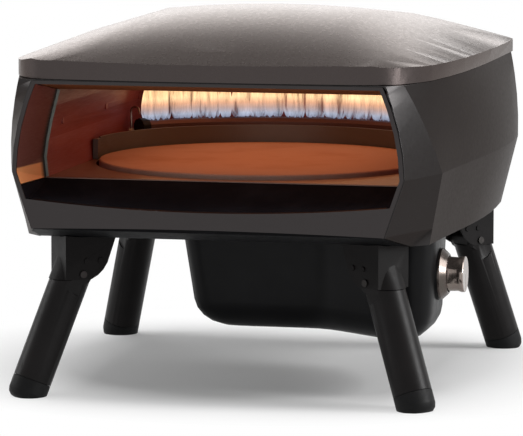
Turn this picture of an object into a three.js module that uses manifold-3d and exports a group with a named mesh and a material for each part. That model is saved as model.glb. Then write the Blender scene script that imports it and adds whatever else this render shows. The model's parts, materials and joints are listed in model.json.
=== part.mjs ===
// Portable gas pizza oven with a turning stone, on four folding legs. Millimetres, +Z up.
// Everything is drawn with x = 0 on the mid plane, y = 0 on the front of the front frame
// and z = 0 on the floor. The finished group is then moved so that its origin lies under
// the middle of its own box.
import * as THREE from 'three';
import { mergeVertices } from 'three/addons/utils/BufferGeometryUtils.js';
import Module from 'manifold-3d';

const wasm = await Module();
wasm.setup();

// Clearances and sheet
const SEAT_GAP = 0.3;
const RUN_GAP = 0.5;
const PIN_GAP = 0.1;
const OVERRUN = 6;
const MERGE_STEP = 0.001;
const SHELL_WALL = 1.6;
const LINER_SHEET = 1.2;
const PLATE_SHEET = 1.5;

// Levels of the body above the floor
const BASE_Z = 155;
const SILL_Z = 171;
const BELT_Z = 225;
const SHELL_TOP_Z = 312.7;

// Plan of the body at its base, its belt and its top: half widths and depths
const BASE_FRONT_Y = 72;
const BASE_CORNER_HALF = 197.9;
const BASE_CORNER_Y = 88;
const BASE_BACK_HALF = 207.3;
const BASE_BACK_Y = 480;
const BASE_BOW = 8;
const SILL_FRONT_HALF = 170.2;
const BASE_FRONT_SPREAD = 12.8;
const BELT_FRONT_HALF = 188.8;
const BELT_CORNER_HALF = 212;
const BELT_CORNER_Y = 77;
const BELT_BACK_HALF = 224;
const BELT_BACK_Y = 485;
const BELT_BOW = 8.5;
const TOP_FRONT_HALF = 167.8;
const TOP_CORNER_SPREAD = 18.2;
const TOP_CORNER_Y = 15;
const TOP_BACK_HALF = 216;
const TOP_BACK_Y = 484;
const TOP_BOW = 16.5;
const BACK_CORNER_RADIUS = 16;
const RIM_BULGE = 4.8;
const CORNER_BULGE = 2.8;
const SIDE_BULGE = 2.6;
const TOP_LEDGE = 9;

// How the bow of each side is spread: 1 is even, less moves it forward, more moves it back
const BASE_BOW_SHARE = 1.4;
const BELT_BOW_SHARE = 1.5;
const TOP_BOW_SHARE = 0.66;
const SIDE_STEPS = 8;
const LEVEL_SHARES = [0.25, 0.5, 0.75, 0.9];

// Front frame with the mouth in it
const FRAME_SHEET = 2;
const RIM_STRIP = 4;
const RIM_TOP_Z = 311.8;
const MOUTH_TOP_Z = 308.6;
const LIP_Z = 190;
const LIP_RISE = 8.6;
const CHIN_ARCH = 2.6;
const HEM_DEPTH = 10;
const LIP_STEPS = 12;

// Lid
const LID_SHEET = 1.6;
const LID_FRONT_Y = -4;
const LID_FRONT_BOW = 8;
const LID_FRONT_FLAT_HALF = 150;
const LID_FRONT_STEPS = 6;
const LID_CORNER_STEPS = 6;
const LID_OVERHANG = 1;
const LID_BACK_Y = 489;
const LID_SKIRT_FRONT = 16;
const LID_SKIRT_SIDE = 15.6;
const LID_SKIRT_BACK = 11.6;
const LID_SKIRT_SHARE = 0.7;
const LID_BEVEL = 2;
const RIDGE_Y = 367;
const CREASE_FRONT_HALF = 130;
const CREASE_WAIST_HALF = 103.4;
const RIDGE_HALF = 129;
const RIDGE_Z = 358;
const CREASE_PEAK_Z = 364.6;
const CROWN_ARCH = 6;
const WAIST_SHARE = 0.62;
const PEAK_SHARE = 0.72;
const CROWN_ROWS = 10;
const HIP_ROWS = 4;
const ARCH_STEPS = 3;
const HIP_SHARE = 1.1;
const FLANK_BULGE = 3.5;
const FLANK_SHARE = 0.5;

// Cooking chamber
const CHAMBER_FRONT_Y = 70;
const CHAMBER_BACK_Y = 462;
const CHAMBER_TOP_Z = 298;
const ROOF_OVERLAP = 2;
const LINER_FOOT_HALF = 175;
const LINER_BELLY_HALF = 176.8;
const LINER_BELLY_Z = 233;
const LINER_TOP_HALF = 163;
const LINER_CURL_SHARE = 1.3;
const LINER_STEPS = 4;
const LINER_FLANGE = 2.4;
const BOLT_SHARES = [0.12, 0.54, 0.88];
const BOLT_Z = 263.5;
const BOLT_HEAD_RADIUS = 3.2;
const BOLT_HEAD_THICK = 1.6;
const BOLT_SIDES = 8;
const PIN_SIDES = 12;
const ROD_SIDES = 16;
const ROUND_SIDES = 48;
const FLOOR_Z = 213;
const INSULATION_THICK = 8;
const INSULATION_EDGE = 14;

// Turning stone and its drive
const STONE_Y = 250.7;
const STONE_RADIUS = 165;
const STONE_THICK = 12;
const STONE_PROUD = 4.7;
const STONE_EDGE = 1.2;
const STONE_GAP = 3;
const CARRIER_SHEET = 2;
const CARRIER_HUB_RADIUS = 11;
const CARRIER_HUB_LENGTH = 16;
const CARRIER_DISC_RADIUS = 42;
const CARRIER_ARMS = 3;
const CARRIER_ARM_WIDTH = 26;
const CARRIER_ARM_REACH = 138;
const CARRIER_ARM_TURN = 30;
const SHAFT_RADIUS = 5;
const SHAFT_ENTRY = 12;
const BUSH_WALL = 5;
const BUSH_FLANGE = 6;
const BUSH_LENGTH = 14;

// Flame deflector, burner and its fittings, all on arcs about the stone's axis
const DEFLECTOR_RADIUS = 169;
const DEFLECTOR_HEIGHT = 22;
const DEFLECTOR_STEPS = 30;
const POST_WIDTH = 8;
const POST_DEPTH = 10;
const BURNER_ARC_RADIUS = 200;
const BURNER_HALF_SPAN = 157;
const BURNER_TUBE_RADIUS = 7;
const BURNER_TUBE_WALL = 1.2;
const BURNER_AXIS_Z = 234.5;
const BURNER_SIDES = 5;
const BURNER_STEPS = 24;
const PORT_COUNT = 30;
const PORT_WIDTH = 1.6;
const PORT_LENGTH = 3.4;
const CUP_RADIUS = 9;
const CUP_LENGTH = 10;
const CUP_WALL = 1.5;
const SADDLE_WIDTH = 12;
const SADDLE_SHARES = [0.08, 0.5, 0.92];
const IGNITER_ROD_RADIUS = 1.1;
const IGNITER_X = 170.5;
const IGNITER_TOP_Z = 254.5;
const IGNITER_REACH = 13;
const IGNITER_DROP = 7;
const IGNITER_ARC_RADIUS = 214;
const BEND_SHARE = 0.3;
const INSULATOR_RADIUS = 3.6;
const INSULATOR_HEIGHT = 19;
const MIXER_RADIUS = 6;
const MIXER_X = 164;
const MIXER_RUN_X = 166.5;
const MIXER_RUN_Z = 190;
const MIXER_BEND = 12;
const MIXER_STEPS = 18;

// Base pan
const PAN_RIM = 9;
const PAN_SLOPE = 0.22;
const NOTCH_COUNT = 5;
const NOTCH_PITCH = 76;
const NOTCH_WIDTH = 5;
const NOTCH_HEIGHT = 1.6;
const VENT_COUNT = 6;
const VENT_PITCH = 14;
const VENT_WIDTH = 4;
const VENT_LENGTH = 46;
const VENT_Y = 400;

// Housing under the pan: its floor, draft and the corners of its plan
const HOUSING_FLOOR_Z = 52.3;
const HOUSING_WALL = 2;
const HOUSING_LEFT_X = -71.7;
const HOUSING_RIGHT_X = 194.6;
const HOUSING_BACK_Y = 316;
const HOUSING_RECESS_Y = 182;
const HOUSING_NOSE_Y = 125;
const HOUSING_NOSE_X = 142;
const HOUSING_RECESS_X = 66;
const HOUSING_TAIL_X = 150;
const HOUSING_CHEEK_Y = 214;
const HOUSING_CORNER = 22;
const HOUSING_FLOOR_RADIUS = 29;
const HOUSING_DRAFT_LEFT = 16;
const HOUSING_DRAFT_RIGHT = 5;
const HOUSING_DRAFT = 3;
const HOUSING_STEPS = 5;
const FILLET_STEPS = 3;
const ROUND_SHARE = 0.46;

// Gas control
const KNOB_Y = 174;
const KNOB_Z = 116.5;
const BEZEL_RADIUS = 25;
const BEZEL_FRONT_RADIUS = 19.5;
const BEZEL_DEPTH = 8;
const BEZEL_LIP = 2;
const BOSS_RADIUS = 26;
const BOSS_PROUD = 0.3;
const BOSS_ROOT = 5;
const KNOB_RADIUS = 17;
const KNOB_RIM_RADIUS = 17.6;
const KNOB_RIM_THICK = 3.2;
const KNOB_LENGTH = 18;
const KNOB_START = 4.5;
const KNOB_FLATS = 2;
const KNOB_FLAT_TURN = 90;
const KNOB_FLAT_DEPTH = 1.6;
const STEM_RADIUS = 4;
const STEM_SOCKET = 14;
const VALVE_LENGTH = 34;
const VALVE_HEIGHT = 30;
const VALVE_DEPTH = 26;
const VALVE_WALL = 3;
const VALVE_NOSE_LENGTH = 10;
const PLUNGER_RADIUS = 7;
const PLUNGER_THICK = 3;
const PUSH_TRAVEL = 4;
const VALVE_NOSE_RADIUS = 9;
const PIPE_RADIUS = 4;
const PIPE_SIDES = 4;
const PIPE_STEPS = 22;
const PIPE_BEND = 8;
const LANE_SHARE = 0.5;
const LANE_BACK_SHARE = 0.5;
const PIPE_RUN = 30;
const INLET_X = 15;
const INLET_Z = 100;
const INLET_RADIUS = 7;
const INLET_HEX_RADIUS = 11;
const INLET_HEX_THICK = 8;
const INLET_LENGTH = 20;
const BARB_SHARE = 0.7;

// Motor and battery box
const GEARBOX_WIDTH = 58;
const GEARBOX_DEPTH = 48;
const GEARBOX_THICK = 24;
const GEARBOX_DROP = 26;
const MOTOR_RADIUS = 18;
const MOTOR_LENGTH = 22;
const MOTOR_POST_RADIUS = 4;
const POST_INSET_SHARE = 1.6;
const BATTERY_WIDTH = 74;
const BATTERY_DEPTH = 32;
const BATTERY_HEIGHT = 66;
const BATTERY_X = 84;
const BATTERY_Y = 266;
const SEAM_GROOVE = 1.2;
const SEAM_SHARE = 0.7;

// Legs and their brackets, in the leg's own plane: s outwards, t across, z up
const FRONT_FOOT_HALF = 192.6;
const FRONT_FOOT_Y = 57;
const BACK_FOOT_HALF = 210.5;
const BACK_FOOT_Y = 481.5;
const FRONT_HEADING = THREE.MathUtils.degToRad(37);
const BACK_HEADING = THREE.MathUtils.degToRad(50);
const LEG_TILT = THREE.MathUtils.degToRad(22.3);
const LEG_RADIUS = 19;
const LEG_WALL = 2.2;
const LEG_SIDES = 24;
const KNUCKLE_LENGTH = 26;
const SEAM_Z = 113;
const BRACKET_FACE_OUT = 12;
const BRACKET_HALF_WIDTH = 19.5;
const BRACKET_SHEET = 2;
const BRACKET_TOP_LENGTH = 52;
const BRACKET_WAIST_LENGTH = 43.5;
const BRACKET_WAIST_Z = 129;
const BRACKET_TURN_LENGTH = 37.8;
const BRACKET_TURN_Z = 117.8;
const BRACKET_FOOT_LENGTH = 27;
const COVER_PROUD = 0.8;
const PIVOT_IN = 18;
const PIVOT_Z = 118.5;
const PIVOT_RADIUS = 2.5;
const PIVOT_HEAD_RADIUS = 3.6;
const PIVOT_HEAD_THICK = 1.4;
const EAR_RADIUS = 11;
const EAR_HALF_WIDTH = 17.1;
const FLAT_REACH = 21.2;
const RIVET_RADIUS = 2.8;
const RIVET_THICK = 1.2;
const RIVET_IN = 21.5;
const RIVET_FAR_IN = 36;
const RIVET_Z = 131.5;
const FOOT_HEIGHT = 17;
const FOOT_ROUND = 9;
const FOOT_TOE = 5;
const FOOT_PLUG = 9;

// Finishes
const FINISHES = {
  shell: { color: 0x4b4645, roughness: 0.42, metalness: 0.55 },
  blackSteel: { color: 0x151414, roughness: 0.6, metalness: 0.3 },
  liner: { color: 0x6b5a50, roughness: 0.45, metalness: 0.8 },
  stone: { color: 0xc9a684, roughness: 0.9, metalness: 0 },
  steel: { color: 0xa9a49c, roughness: 0.35, metalness: 0.9 },
  bronze: { color: 0x8d8074, roughness: 0.3, metalness: 0.9 },
  brass: { color: 0xb08d4a, roughness: 0.35, metalness: 0.9 },
  ceramic: { color: 0xe9e4d8, roughness: 0.8, metalness: 0 },
  plastic: { color: 0x17191a, roughness: 0.55, metalness: 0 },
  leg: { color: 0x211c1b, roughness: 0.5, metalness: 0.15 },
  rubber: { color: 0x121111, roughness: 0.85, metalness: 0 },
};

const X_AXIS = new THREE.Vector3(1, 0, 0);
const Y_AXIS = new THREE.Vector3(0, 1, 0);
const Z_AXIS = new THREE.Vector3(0, 0, 1);
const ALONG_X = new THREE.Matrix4().makeBasis(Y_AXIS, Z_AXIS, X_AXIS);
const ALONG_Y = new THREE.Matrix4().makeBasis(X_AXIS, Z_AXIS, Y_AXIS.clone().negate());
const LATHE_UP = new THREE.Matrix4().makeBasis(Y_AXIS, Z_AXIS, X_AXIS);
const lerp = THREE.MathUtils.lerp;
const TOP_CORNER_HALF = TOP_FRONT_HALF + TOP_CORNER_SPREAD;
const VALVE_TOP_Z = KNOB_Z + VALVE_HEIGHT / 2;

// Solids

// Vertices and triangles as a solid, turned the right way round if they face inwards.
function solidOf(positions, triangles) {
  const make = (list) => new wasm.Manifold(
    new wasm.Mesh({ numProp: 3, vertProperties: positions, triVerts: new Uint32Array(list) }),
  );
  const body = make(triangles);
  if (body.volume() > 0) return body;
  const turned = [];
  for (let i = 0; i < triangles.length; i += 3) {
    turned.push(triangles[i], triangles[i + 2], triangles[i + 1]);
  }
  return make(turned);
}

// A closed three.js geometry as a solid that can be joined and cut.
function solid(geometry) {
  const bare = geometry.clone();
  bare.deleteAttribute('normal');
  bare.deleteAttribute('uv');
  const merged = mergeVertices(bare, MERGE_STEP);
  return solidOf(merged.attributes.position.array, Array.from(merged.index.array));
}

// A solid as a flat-shaded geometry.
function geometryOf(body) {
  const mesh = body.getMesh();
  const indexed = new THREE.BufferGeometry();
  indexed.setAttribute('position', new THREE.BufferAttribute(mesh.vertProperties, mesh.numProp));
  indexed.setIndex(new THREE.BufferAttribute(mesh.triVerts, 1));
  const geometry = indexed.toNonIndexed();
  geometry.computeVertexNormals();
  return geometry;
}

function vectors(points) {
  return points.map(([a, b]) => new THREE.Vector2(a, b));
}

// A prism of an outline, its points given in the two axes across its length.
function prism(points, from, to, holes = []) {
  const shape = new THREE.Shape(vectors(points));
  for (const hole of holes) shape.holes.push(new THREE.Path(vectors(hole)));
  const geometry = new THREE.ExtrudeGeometry(shape, { depth: to - from, bevelEnabled: false });
  geometry.translate(0, 0, from);
  return geometry;
}

const prismZ = (points, low, high, holes) => solid(prism(points, low, high, holes));

const prismX = (points, left, right, holes) => (
  solid(prism(points, left, right, holes).applyMatrix4(ALONG_X))
);

const prismY = (points, front, back, holes) => (
  solid(prism(points, -back, -front, holes).applyMatrix4(ALONG_Y))
);

function box(x0, x1, y0, y1, z0, z1) {
  const geometry = new THREE.BoxGeometry(x1 - x0, y1 - y0, z1 - z0);
  geometry.translate((x0 + x1) / 2, (y0 + y1) / 2, (z0 + z1) / 2);
  return solid(geometry);
}

// A profile of [radius, height] points turned about the z axis.
function turned(profile, sides) {
  const points = profile.map(([r, z]) => new THREE.Vector2(r, z));
  return solid(new THREE.LatheGeometry(points, sides).applyMatrix4(LATHE_UP));
}

// A plain rod or tube along z, between two heights.
function rod(radius, low, high, sides, bore = 0) {
  if (bore === 0) return turned([[0, low], [radius, low], [radius, high], [0, high]], sides);
  return turned([[bore, low], [radius, low], [radius, high], [bore, high], [bore, low]], sides);
}

// The same solid laid along x or y instead of z.
const alongX = (body) => body.rotate([0, 90, 0]);
const alongY = (body) => body.rotate([-90, 0, 0]);

// A skin through rings of [x, y, z] points with equal counts, capped at both ends.
function loft(rings) {
  const count = rings[0].length;
  const positions = new Float32Array(rings.flat(2));
  const triangles = [];
  for (let r = 0; r + 1 < rings.length; r += 1) {
    for (let i = 0; i < count; i += 1) {
      const j = (i + 1) % count;
      const a = r * count + i;
      const b = r * count + j;
      triangles.push(a, b, b + count, a, b + count, a + count);
    }
  }
  const last = (rings.length - 1) * count;
  const lowCap = THREE.ShapeUtils.triangulateShape(vectors(rings[0]), []);
  const highCap = THREE.ShapeUtils.triangulateShape(vectors(rings[rings.length - 1]), []);
  for (const [a, b, c] of lowCap) triangles.push(a, c, b);
  for (const [a, b, c] of highCap) triangles.push(last + a, last + b, last + c);
  return solidOf(positions, triangles);
}

// A sheet between two grids of points, row by row, closed along its four edges.
function sheet(upper, lower) {
  const rows = upper.length;
  const columns = upper[0].length;
  const positions = new Float32Array([...upper.flat(2), ...lower.flat(2)]);
  const under = rows * columns;
  const triangles = [];
  const quad = (a, b, c, d) => triangles.push(a, b, c, a, c, d);
  const at = (r, c) => r * columns + c;
  for (let r = 0; r + 1 < rows; r += 1) {
    for (let c = 0; c + 1 < columns; c += 1) {
      quad(at(r, c), at(r, c + 1), at(r + 1, c + 1), at(r + 1, c));
      quad(under + at(r, c), under + at(r + 1, c), under + at(r + 1, c + 1), under + at(r, c + 1));
    }
  }
  const edge = [];
  for (let c = 0; c + 1 < columns; c += 1) edge.push(at(0, c));
  for (let r = 0; r + 1 < rows; r += 1) edge.push(at(r, columns - 1));
  for (let c = columns - 1; c > 0; c -= 1) edge.push(at(rows - 1, c));
  for (let r = rows - 1; r > 0; r -= 1) edge.push(at(r, 0));
  edge.forEach((a, i) => {
    const b = edge[(i + 1) % edge.length];
    quad(a, under + a, under + b, b);
  });
  return solidOf(positions, triangles);
}

// A round tube swept along points; its ends are flat.
function pipe(points, radius, sides, steps) {
  const circle = new THREE.Shape();
  circle.absarc(0, 0, radius, 0, 2 * Math.PI);
  const path = new THREE.CatmullRomCurve3(points.map((p) => new THREE.Vector3(...p)), false, 'centripetal');
  const geometry = new THREE.ExtrudeGeometry(circle, {
    steps, curveSegments: sides, extrudePath: path, bevelEnabled: false,
  });
  return solid(geometry);
}

function joined(bodies) {
  return bodies.reduce((whole, body) => whole.add(body));
}

// Outlines

// The right half of an outline, completed by its mirror image.
function mirrored(half) {
  const left = half.map(([x, y]) => [-x, y]).reverse();
  return [...left, ...half];
}

// Rounds each corner of an outline with a short curve.
function rounded(points, radius, steps = FILLET_STEPS) {
  const out = [];
  points.forEach((point, i) => {
    const corner = new THREE.Vector2(...point);
    const before = new THREE.Vector2(...points[(i + points.length - 1) % points.length]);
    const after = new THREE.Vector2(...points[(i + 1) % points.length]);
    const reach = Math.min(radius, before.distanceTo(corner) * ROUND_SHARE, after.distanceTo(corner) * ROUND_SHARE);
    const start = before.sub(corner).setLength(reach).add(corner);
    const end = after.sub(corner).setLength(reach).add(corner);
    const curve = new THREE.QuadraticBezierCurve(start, corner, end);
    for (const p of curve.getPoints(steps)) out.push([p.x, p.y]);
  });
  return out;
}

// Moves every edge of a counterclockwise outline inwards by its own distance.
function inset(points, distanceOf) {
  const distance = typeof distanceOf === 'function' ? distanceOf : () => distanceOf;
  return points.map((point, i) => {
    const before = points[(i + points.length - 1) % points.length];
    const after = points[(i + 1) % points.length];
    const back = new THREE.Vector2(point[0] - before[0], point[1] - before[1]).normalize();
    const on = new THREE.Vector2(after[0] - point[0], after[1] - point[1]).normalize();
    const backStep = distance(before, point);
    const onStep = distance(point, after);
    const turn = back.cross(on);
    const straight = Math.abs(turn) < MERGE_STEP;
    const slide = straight ? 0 : (backStep * back.dot(on) - onStep) / turn;
    return [
      point[0] - back.y * backStep + back.x * slide,
      point[1] + back.x * backStep + back.y * slide,
    ];
  });
}

const raised = (points, z) => points.map(([x, y]) => [x, y, z]);

// Body plan

// Half width of the front rim, in the plane of the front frame.
function rimHalf(z) {
  if (z <= BELT_Z) return lerp(SILL_FRONT_HALF, BELT_FRONT_HALF, (z - SILL_Z) / (BELT_Z - SILL_Z));
  const t = (z - BELT_Z) / (SHELL_TOP_Z - BELT_Z);
  return lerp(BELT_FRONT_HALF, TOP_FRONT_HALF, t) + RIM_BULGE * 4 * t * (1 - t);
}

// The right half of the body's plan at a height, from the front rim to the middle of the back.
function planHalf(z) {
  const low = z <= BELT_Z;
  const t = low ? (z - BASE_Z) / (BELT_Z - BASE_Z) : (z - BELT_Z) / (SHELL_TOP_Z - BELT_Z);
  const swell = low ? 0 : 4 * t * (1 - t);
  const between = (base, belt, top) => (low ? lerp(base, belt, t) : lerp(belt, top, t));
  const skirt = THREE.MathUtils.clamp((SILL_Z - z) / (SILL_Z - BASE_Z), 0, 1);
  const front = [
    rimHalf(Math.max(z, SILL_Z)) + BASE_FRONT_SPREAD * skirt,
    lerp(0, BASE_FRONT_Y, skirt),
  ];
  const corner = [
    between(BASE_CORNER_HALF, BELT_CORNER_HALF, TOP_CORNER_HALF) + CORNER_BULGE * swell,
    between(BASE_CORNER_Y, BELT_CORNER_Y, TOP_CORNER_Y),
  ];
  const back = [
    between(BASE_BACK_HALF, BELT_BACK_HALF, TOP_BACK_HALF) + SIDE_BULGE * swell,
    between(BASE_BACK_Y, BELT_BACK_Y, TOP_BACK_Y),
  ];
  const bow = between(BASE_BOW, BELT_BOW, TOP_BOW);
  const spread = between(BASE_BOW_SHARE, BELT_BOW_SHARE, TOP_BOW_SHARE);
  const side = [];
  for (let i = 0; i <= SIDE_STEPS; i += 1) {
    const s = i / SIDE_STEPS;
    side.push([
      lerp(corner[0], back[0], s) + bow * Math.sin(Math.PI * s ** spread),
      lerp(corner[1], back[1] - BACK_CORNER_RADIUS, s),
    ]);
  }
  const cornerPoint = new THREE.Vector2(back[0], back[1]);
  const turnIn = new THREE.QuadraticBezierCurve(
    new THREE.Vector2(back[0], back[1] - BACK_CORNER_RADIUS),
    cornerPoint,
    new THREE.Vector2(back[0] - BACK_CORNER_RADIUS, back[1]),
  );
  const cornerCurve = turnIn.getPoints(FILLET_STEPS).slice(1).map((p) => [p.x, p.y]);
  return [front, ...side, ...cornerCurve];
}

const plan = (z) => mirrored(planHalf(z));

// Height of the mouth's lip across the oven, and of the chin's lower edge.
const lipZ = (x) => LIP_Z + LIP_RISE * (x / (SILL_FRONT_HALF)) ** 2;
const chinZ = (x) => SILL_Z + CHIN_ARCH * (1 - (x / SILL_FRONT_HALF) ** 2);

// Heights at which the rim's curve is drawn, from one height to another.
function rimLevels(from, to) {
  const upper = LEVEL_SHARES.map((share) => lerp(BELT_Z, SHELL_TOP_Z, share));
  return [from, BELT_Z, ...upper, to].filter((z) => z >= from && z <= to);
}

// Body

function levelsOf() {
  const upper = LEVEL_SHARES.map((share) => lerp(BELT_Z, SHELL_TOP_Z, share));
  return [BASE_Z, SILL_Z, BELT_Z, ...upper, SHELL_TOP_Z];
}

// The room inside the body, a given distance within its outer faces and open at the front.
function bodyRoom(distance) {
  const rings = [BASE_Z - OVERRUN, ...levelsOf(), SHELL_TOP_Z + OVERRUN].map((z) => {
    const outline = plan(THREE.MathUtils.clamp(z, BASE_Z, SHELL_TOP_Z));
    const points = inset(outline, (a, b) => (a[0] < 0 && b[0] > 0 ? -OVERRUN : distance));
    return raised(points, z);
  });
  return loft(rings);
}

function buildOuterShell() {
  const outer = loft(levelsOf().map((z) => raised(plan(z), z)));
  const outline = plan(SHELL_TOP_Z);
  const ledge = prismZ(
    inset(outline, SHELL_WALL / 2),
    SHELL_TOP_Z - SHELL_WALL,
    SHELL_TOP_Z,
    [inset(outline, TOP_LEDGE)],
  );
  const far = BELT_BACK_HALF + BELT_BOW + OVERRUN;
  const front = FRAME_SHEET + SEAT_GAP;
  const frontCut = box(-far, far, -far, front, BASE_Z - OVERRUN, SHELL_TOP_Z + OVERRUN);
  return outer.subtract(bodyRoom(SHELL_WALL)).add(ledge).subtract(frontCut);
}

const lipHalf = rimHalf(LIP_Z + LIP_RISE) - RIM_STRIP;

// Points along the lip of the mouth, from left to right.
function lipLine(half, steps) {
  const points = [];
  for (let i = -steps; i <= steps; i += 1) points.push([(i / steps) * half, lipZ((i / steps) * half)]);
  return points;
}

function buildFrontFrame() {
  const side = rimLevels(SILL_Z, RIM_TOP_Z).map((z) => [rimHalf(z), z]);
  const chin = [];
  for (let i = 1 - LIP_STEPS; i < LIP_STEPS; i += 1) {
    const x = (i / LIP_STEPS) * SILL_FRONT_HALF;
    chin.push([x, chinZ(x)]);
  }
  const outline = [...chin, ...side, ...side.map(([x, z]) => [-x, z]).reverse()];
  const lip = lipLine(lipHalf, LIP_STEPS);
  const jamb = rimLevels(LIP_Z + LIP_RISE, MOUTH_TOP_Z).slice(1).map((z) => [rimHalf(z) - RIM_STRIP, z]);
  const mouth = [...lip, ...jamb, ...jamb.map(([x, z]) => [-x, z]).reverse()];
  const plate = prismY(outline, 0, FRAME_SHEET, [mouth]);
  const hemLine = lipLine(lipHalf - RIM_STRIP, LIP_STEPS);
  const hem = [...hemLine, ...hemLine.map(([x, z]) => [x, z - FRAME_SHEET]).reverse()];
  return plate.add(prismY(hem, FRAME_SHEET / 2, HEM_DEPTH));
}

// Lid

// The lid's plan: the front edge bows out and the sides follow the top of the body.
function lidPlanHalf() {
  const half = [];
  for (let i = 1; i <= LID_FRONT_STEPS; i += 1) {
    const share = i / LID_FRONT_STEPS;
    half.push([LID_FRONT_FLAT_HALF * share, LID_FRONT_Y + LID_FRONT_BOW * share ** 2]);
  }
  const body = planHalf(SHELL_TOP_Z).slice(2);
  const start = half[half.length - 1];
  const turnIn = new THREE.QuadraticBezierCurve(
    new THREE.Vector2(...start),
    new THREE.Vector2(TOP_CORNER_HALF, start[1]),
    new THREE.Vector2(body[0][0] + LID_OVERHANG, body[0][1]),
  );
  for (const p of turnIn.getPoints(LID_CORNER_STEPS).slice(1, -1)) half.push([p.x, p.y]);
  const stretch = (LID_BACK_Y - body[0][1]) / (TOP_BACK_Y - body[0][1]);
  for (const [x, y] of body) half.push([x + LID_OVERHANG, body[0][1] + (y - body[0][1]) * stretch]);
  return half;
}

const LID_Z = SHELL_TOP_Z + RUN_GAP;

// Half width of the lid and height of its skirt's upper edge, at a distance from the front.
function lidEdge(y) {
  const side = planHalf(SHELL_TOP_Z).slice(1, 2 + SIDE_STEPS);
  const from = side.findIndex((point) => point[1] > y);
  const share = THREE.MathUtils.clamp(y / LID_BACK_Y, 0, 1);
  const z = LID_Z + lerp(LID_SKIRT_SIDE, LID_SKIRT_BACK, share ** LID_SKIRT_SHARE);
  if (from === 0) return [side[0][0] + LID_OVERHANG, z];
  if (from < 0) return [side[side.length - 1][0] + LID_OVERHANG, z];
  const [a, b] = [side[from - 1], side[from]];
  return [lerp(a[0], b[0], (y - a[1]) / (b[1] - a[1])) + LID_OVERHANG, z];
}

// The crown's crease: its half width, its height and how far the middle arches above it.
function crease(y) {
  if (y > RIDGE_Y) {
    const u = Math.min((y - RIDGE_Y) / (LID_BACK_Y - RIDGE_Y), 1);
    const backZ = LID_Z + LID_SKIRT_BACK;
    return [
      lerp(RIDGE_HALF, TOP_BACK_HALF, u),
      lerp(RIDGE_Z, backZ, u ** HIP_SHARE),
      CROWN_ARCH * (1 - u),
    ];
  }
  const t = Math.max((y - LID_FRONT_Y) / (RIDGE_Y - LID_FRONT_Y), 0);
  const waist = t < WAIST_SHARE
    ? (CREASE_FRONT_HALF - CREASE_WAIST_HALF) * (1 - t / WAIST_SHARE) ** 2
    : (RIDGE_HALF - CREASE_WAIST_HALF) * ((t - WAIST_SHARE) / (1 - WAIST_SHARE)) ** 2;
  const fall = t < PEAK_SHARE
    ? (CREASE_PEAK_Z - LID_Z - LID_SKIRT_FRONT) * (1 - t / PEAK_SHARE) ** 2
    : (CREASE_PEAK_Z - RIDGE_Z) * ((t - PEAK_SHARE) / (1 - PEAK_SHARE)) ** 2;
  return [CREASE_WAIST_HALF + waist, CREASE_PEAK_Z - fall, CROWN_ARCH * t * (2 - t)];
}

// Everything under the crown's surface, lowered by a thickness.
function underCrown(drop) {
  const far = TOP_BACK_HALF + TOP_BOW + OVERRUN;
  const ys = [LID_FRONT_Y - OVERRUN];
  for (let i = 0; i <= CROWN_ROWS; i += 1) ys.push(lerp(LID_FRONT_Y, RIDGE_Y, i / CROWN_ROWS));
  for (let i = 1; i <= HIP_ROWS; i += 1) ys.push(lerp(RIDGE_Y, LID_BACK_Y, i / HIP_ROWS));
  ys.push(LID_BACK_Y + OVERRUN);
  const sections = ys.map((y) => {
    const [half, z, arch] = crease(y);
    const [edge, edgeZ] = lidEdge(y);
    const top = [];
    for (let i = ARCH_STEPS; i >= -ARCH_STEPS; i -= 1) {
      const share = i / ARCH_STEPS;
      top.push([half * share, z + arch * (1 - share ** 2)]);
    }
    const back = THREE.MathUtils.clamp(y / LID_BACK_Y, 0, 1);
    const swell = FLANK_BULGE * Math.sin(Math.PI * back ** FLANK_SHARE);
    const side = [[far, edgeZ], [edge, edgeZ], [(edge + half) / 2, (edgeZ + z) / 2 + swell]];
    const otherSide = side.map(([x, height]) => [-x, height]).reverse();
    const surface = [...side, ...top, ...otherSide].map(([x, height]) => [x, height - drop]);
    const low = LID_Z - 2 * OVERRUN;
    return [[-far, low], [far, low], ...surface].map(([x, height]) => [x, height, -y]);
  });
  const across = new THREE.Matrix4().makeBasis(X_AXIS, Z_AXIS, Y_AXIS.clone().negate());
  return loft(sections.reverse()).transform(across.toArray());
}

function buildLid() {
  const outline = mirrored(lidPlanHalf());
  const high = CREASE_PEAK_Z + CROWN_ARCH + OVERRUN;
  const outer = prismZ(outline, LID_Z, high).intersect(underCrown(0));
  const inner = prismZ(inset(outline, LID_SHEET), LID_Z - OVERRUN, high).intersect(underCrown(LID_SHEET));
  return outer.subtract(inner);
}

// Cooking chamber

// A line of points as a band, thickened to the left of its direction.
function band(points, thickness) {
  const shifted = points.map(([x, y], i) => {
    const before = points[Math.max(i - 1, 0)];
    const after = points[Math.min(i + 1, points.length - 1)];
    const along = new THREE.Vector2(after[0] - before[0], after[1] - before[1]).normalize();
    return [x - along.y * thickness, y + along.x * thickness];
  });
  return [...points, ...shifted.reverse()];
}

const PAN_TOP_Z = BASE_Z + SEAT_GAP + PLATE_SHEET;

// Half width of the chamber at a height: its walls curl inwards above their belly.
function linerHalf(z) {
  const climb = Math.max((z - LINER_BELLY_Z) / (CHAMBER_TOP_Z - LINER_BELLY_Z), 0);
  return LINER_BELLY_HALF - (LINER_BELLY_HALF - LINER_TOP_HALF) * climb ** LINER_CURL_SHARE;
}

// The curled part of the right wall, from its belly to the roof.
function linerCurl() {
  const points = [];
  for (let i = 0; i <= LINER_STEPS; i += 1) {
    const z = lerp(LINER_BELLY_Z, CHAMBER_TOP_Z, i / LINER_STEPS);
    points.push([linerHalf(z), z]);
  }
  return points;
}

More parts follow.
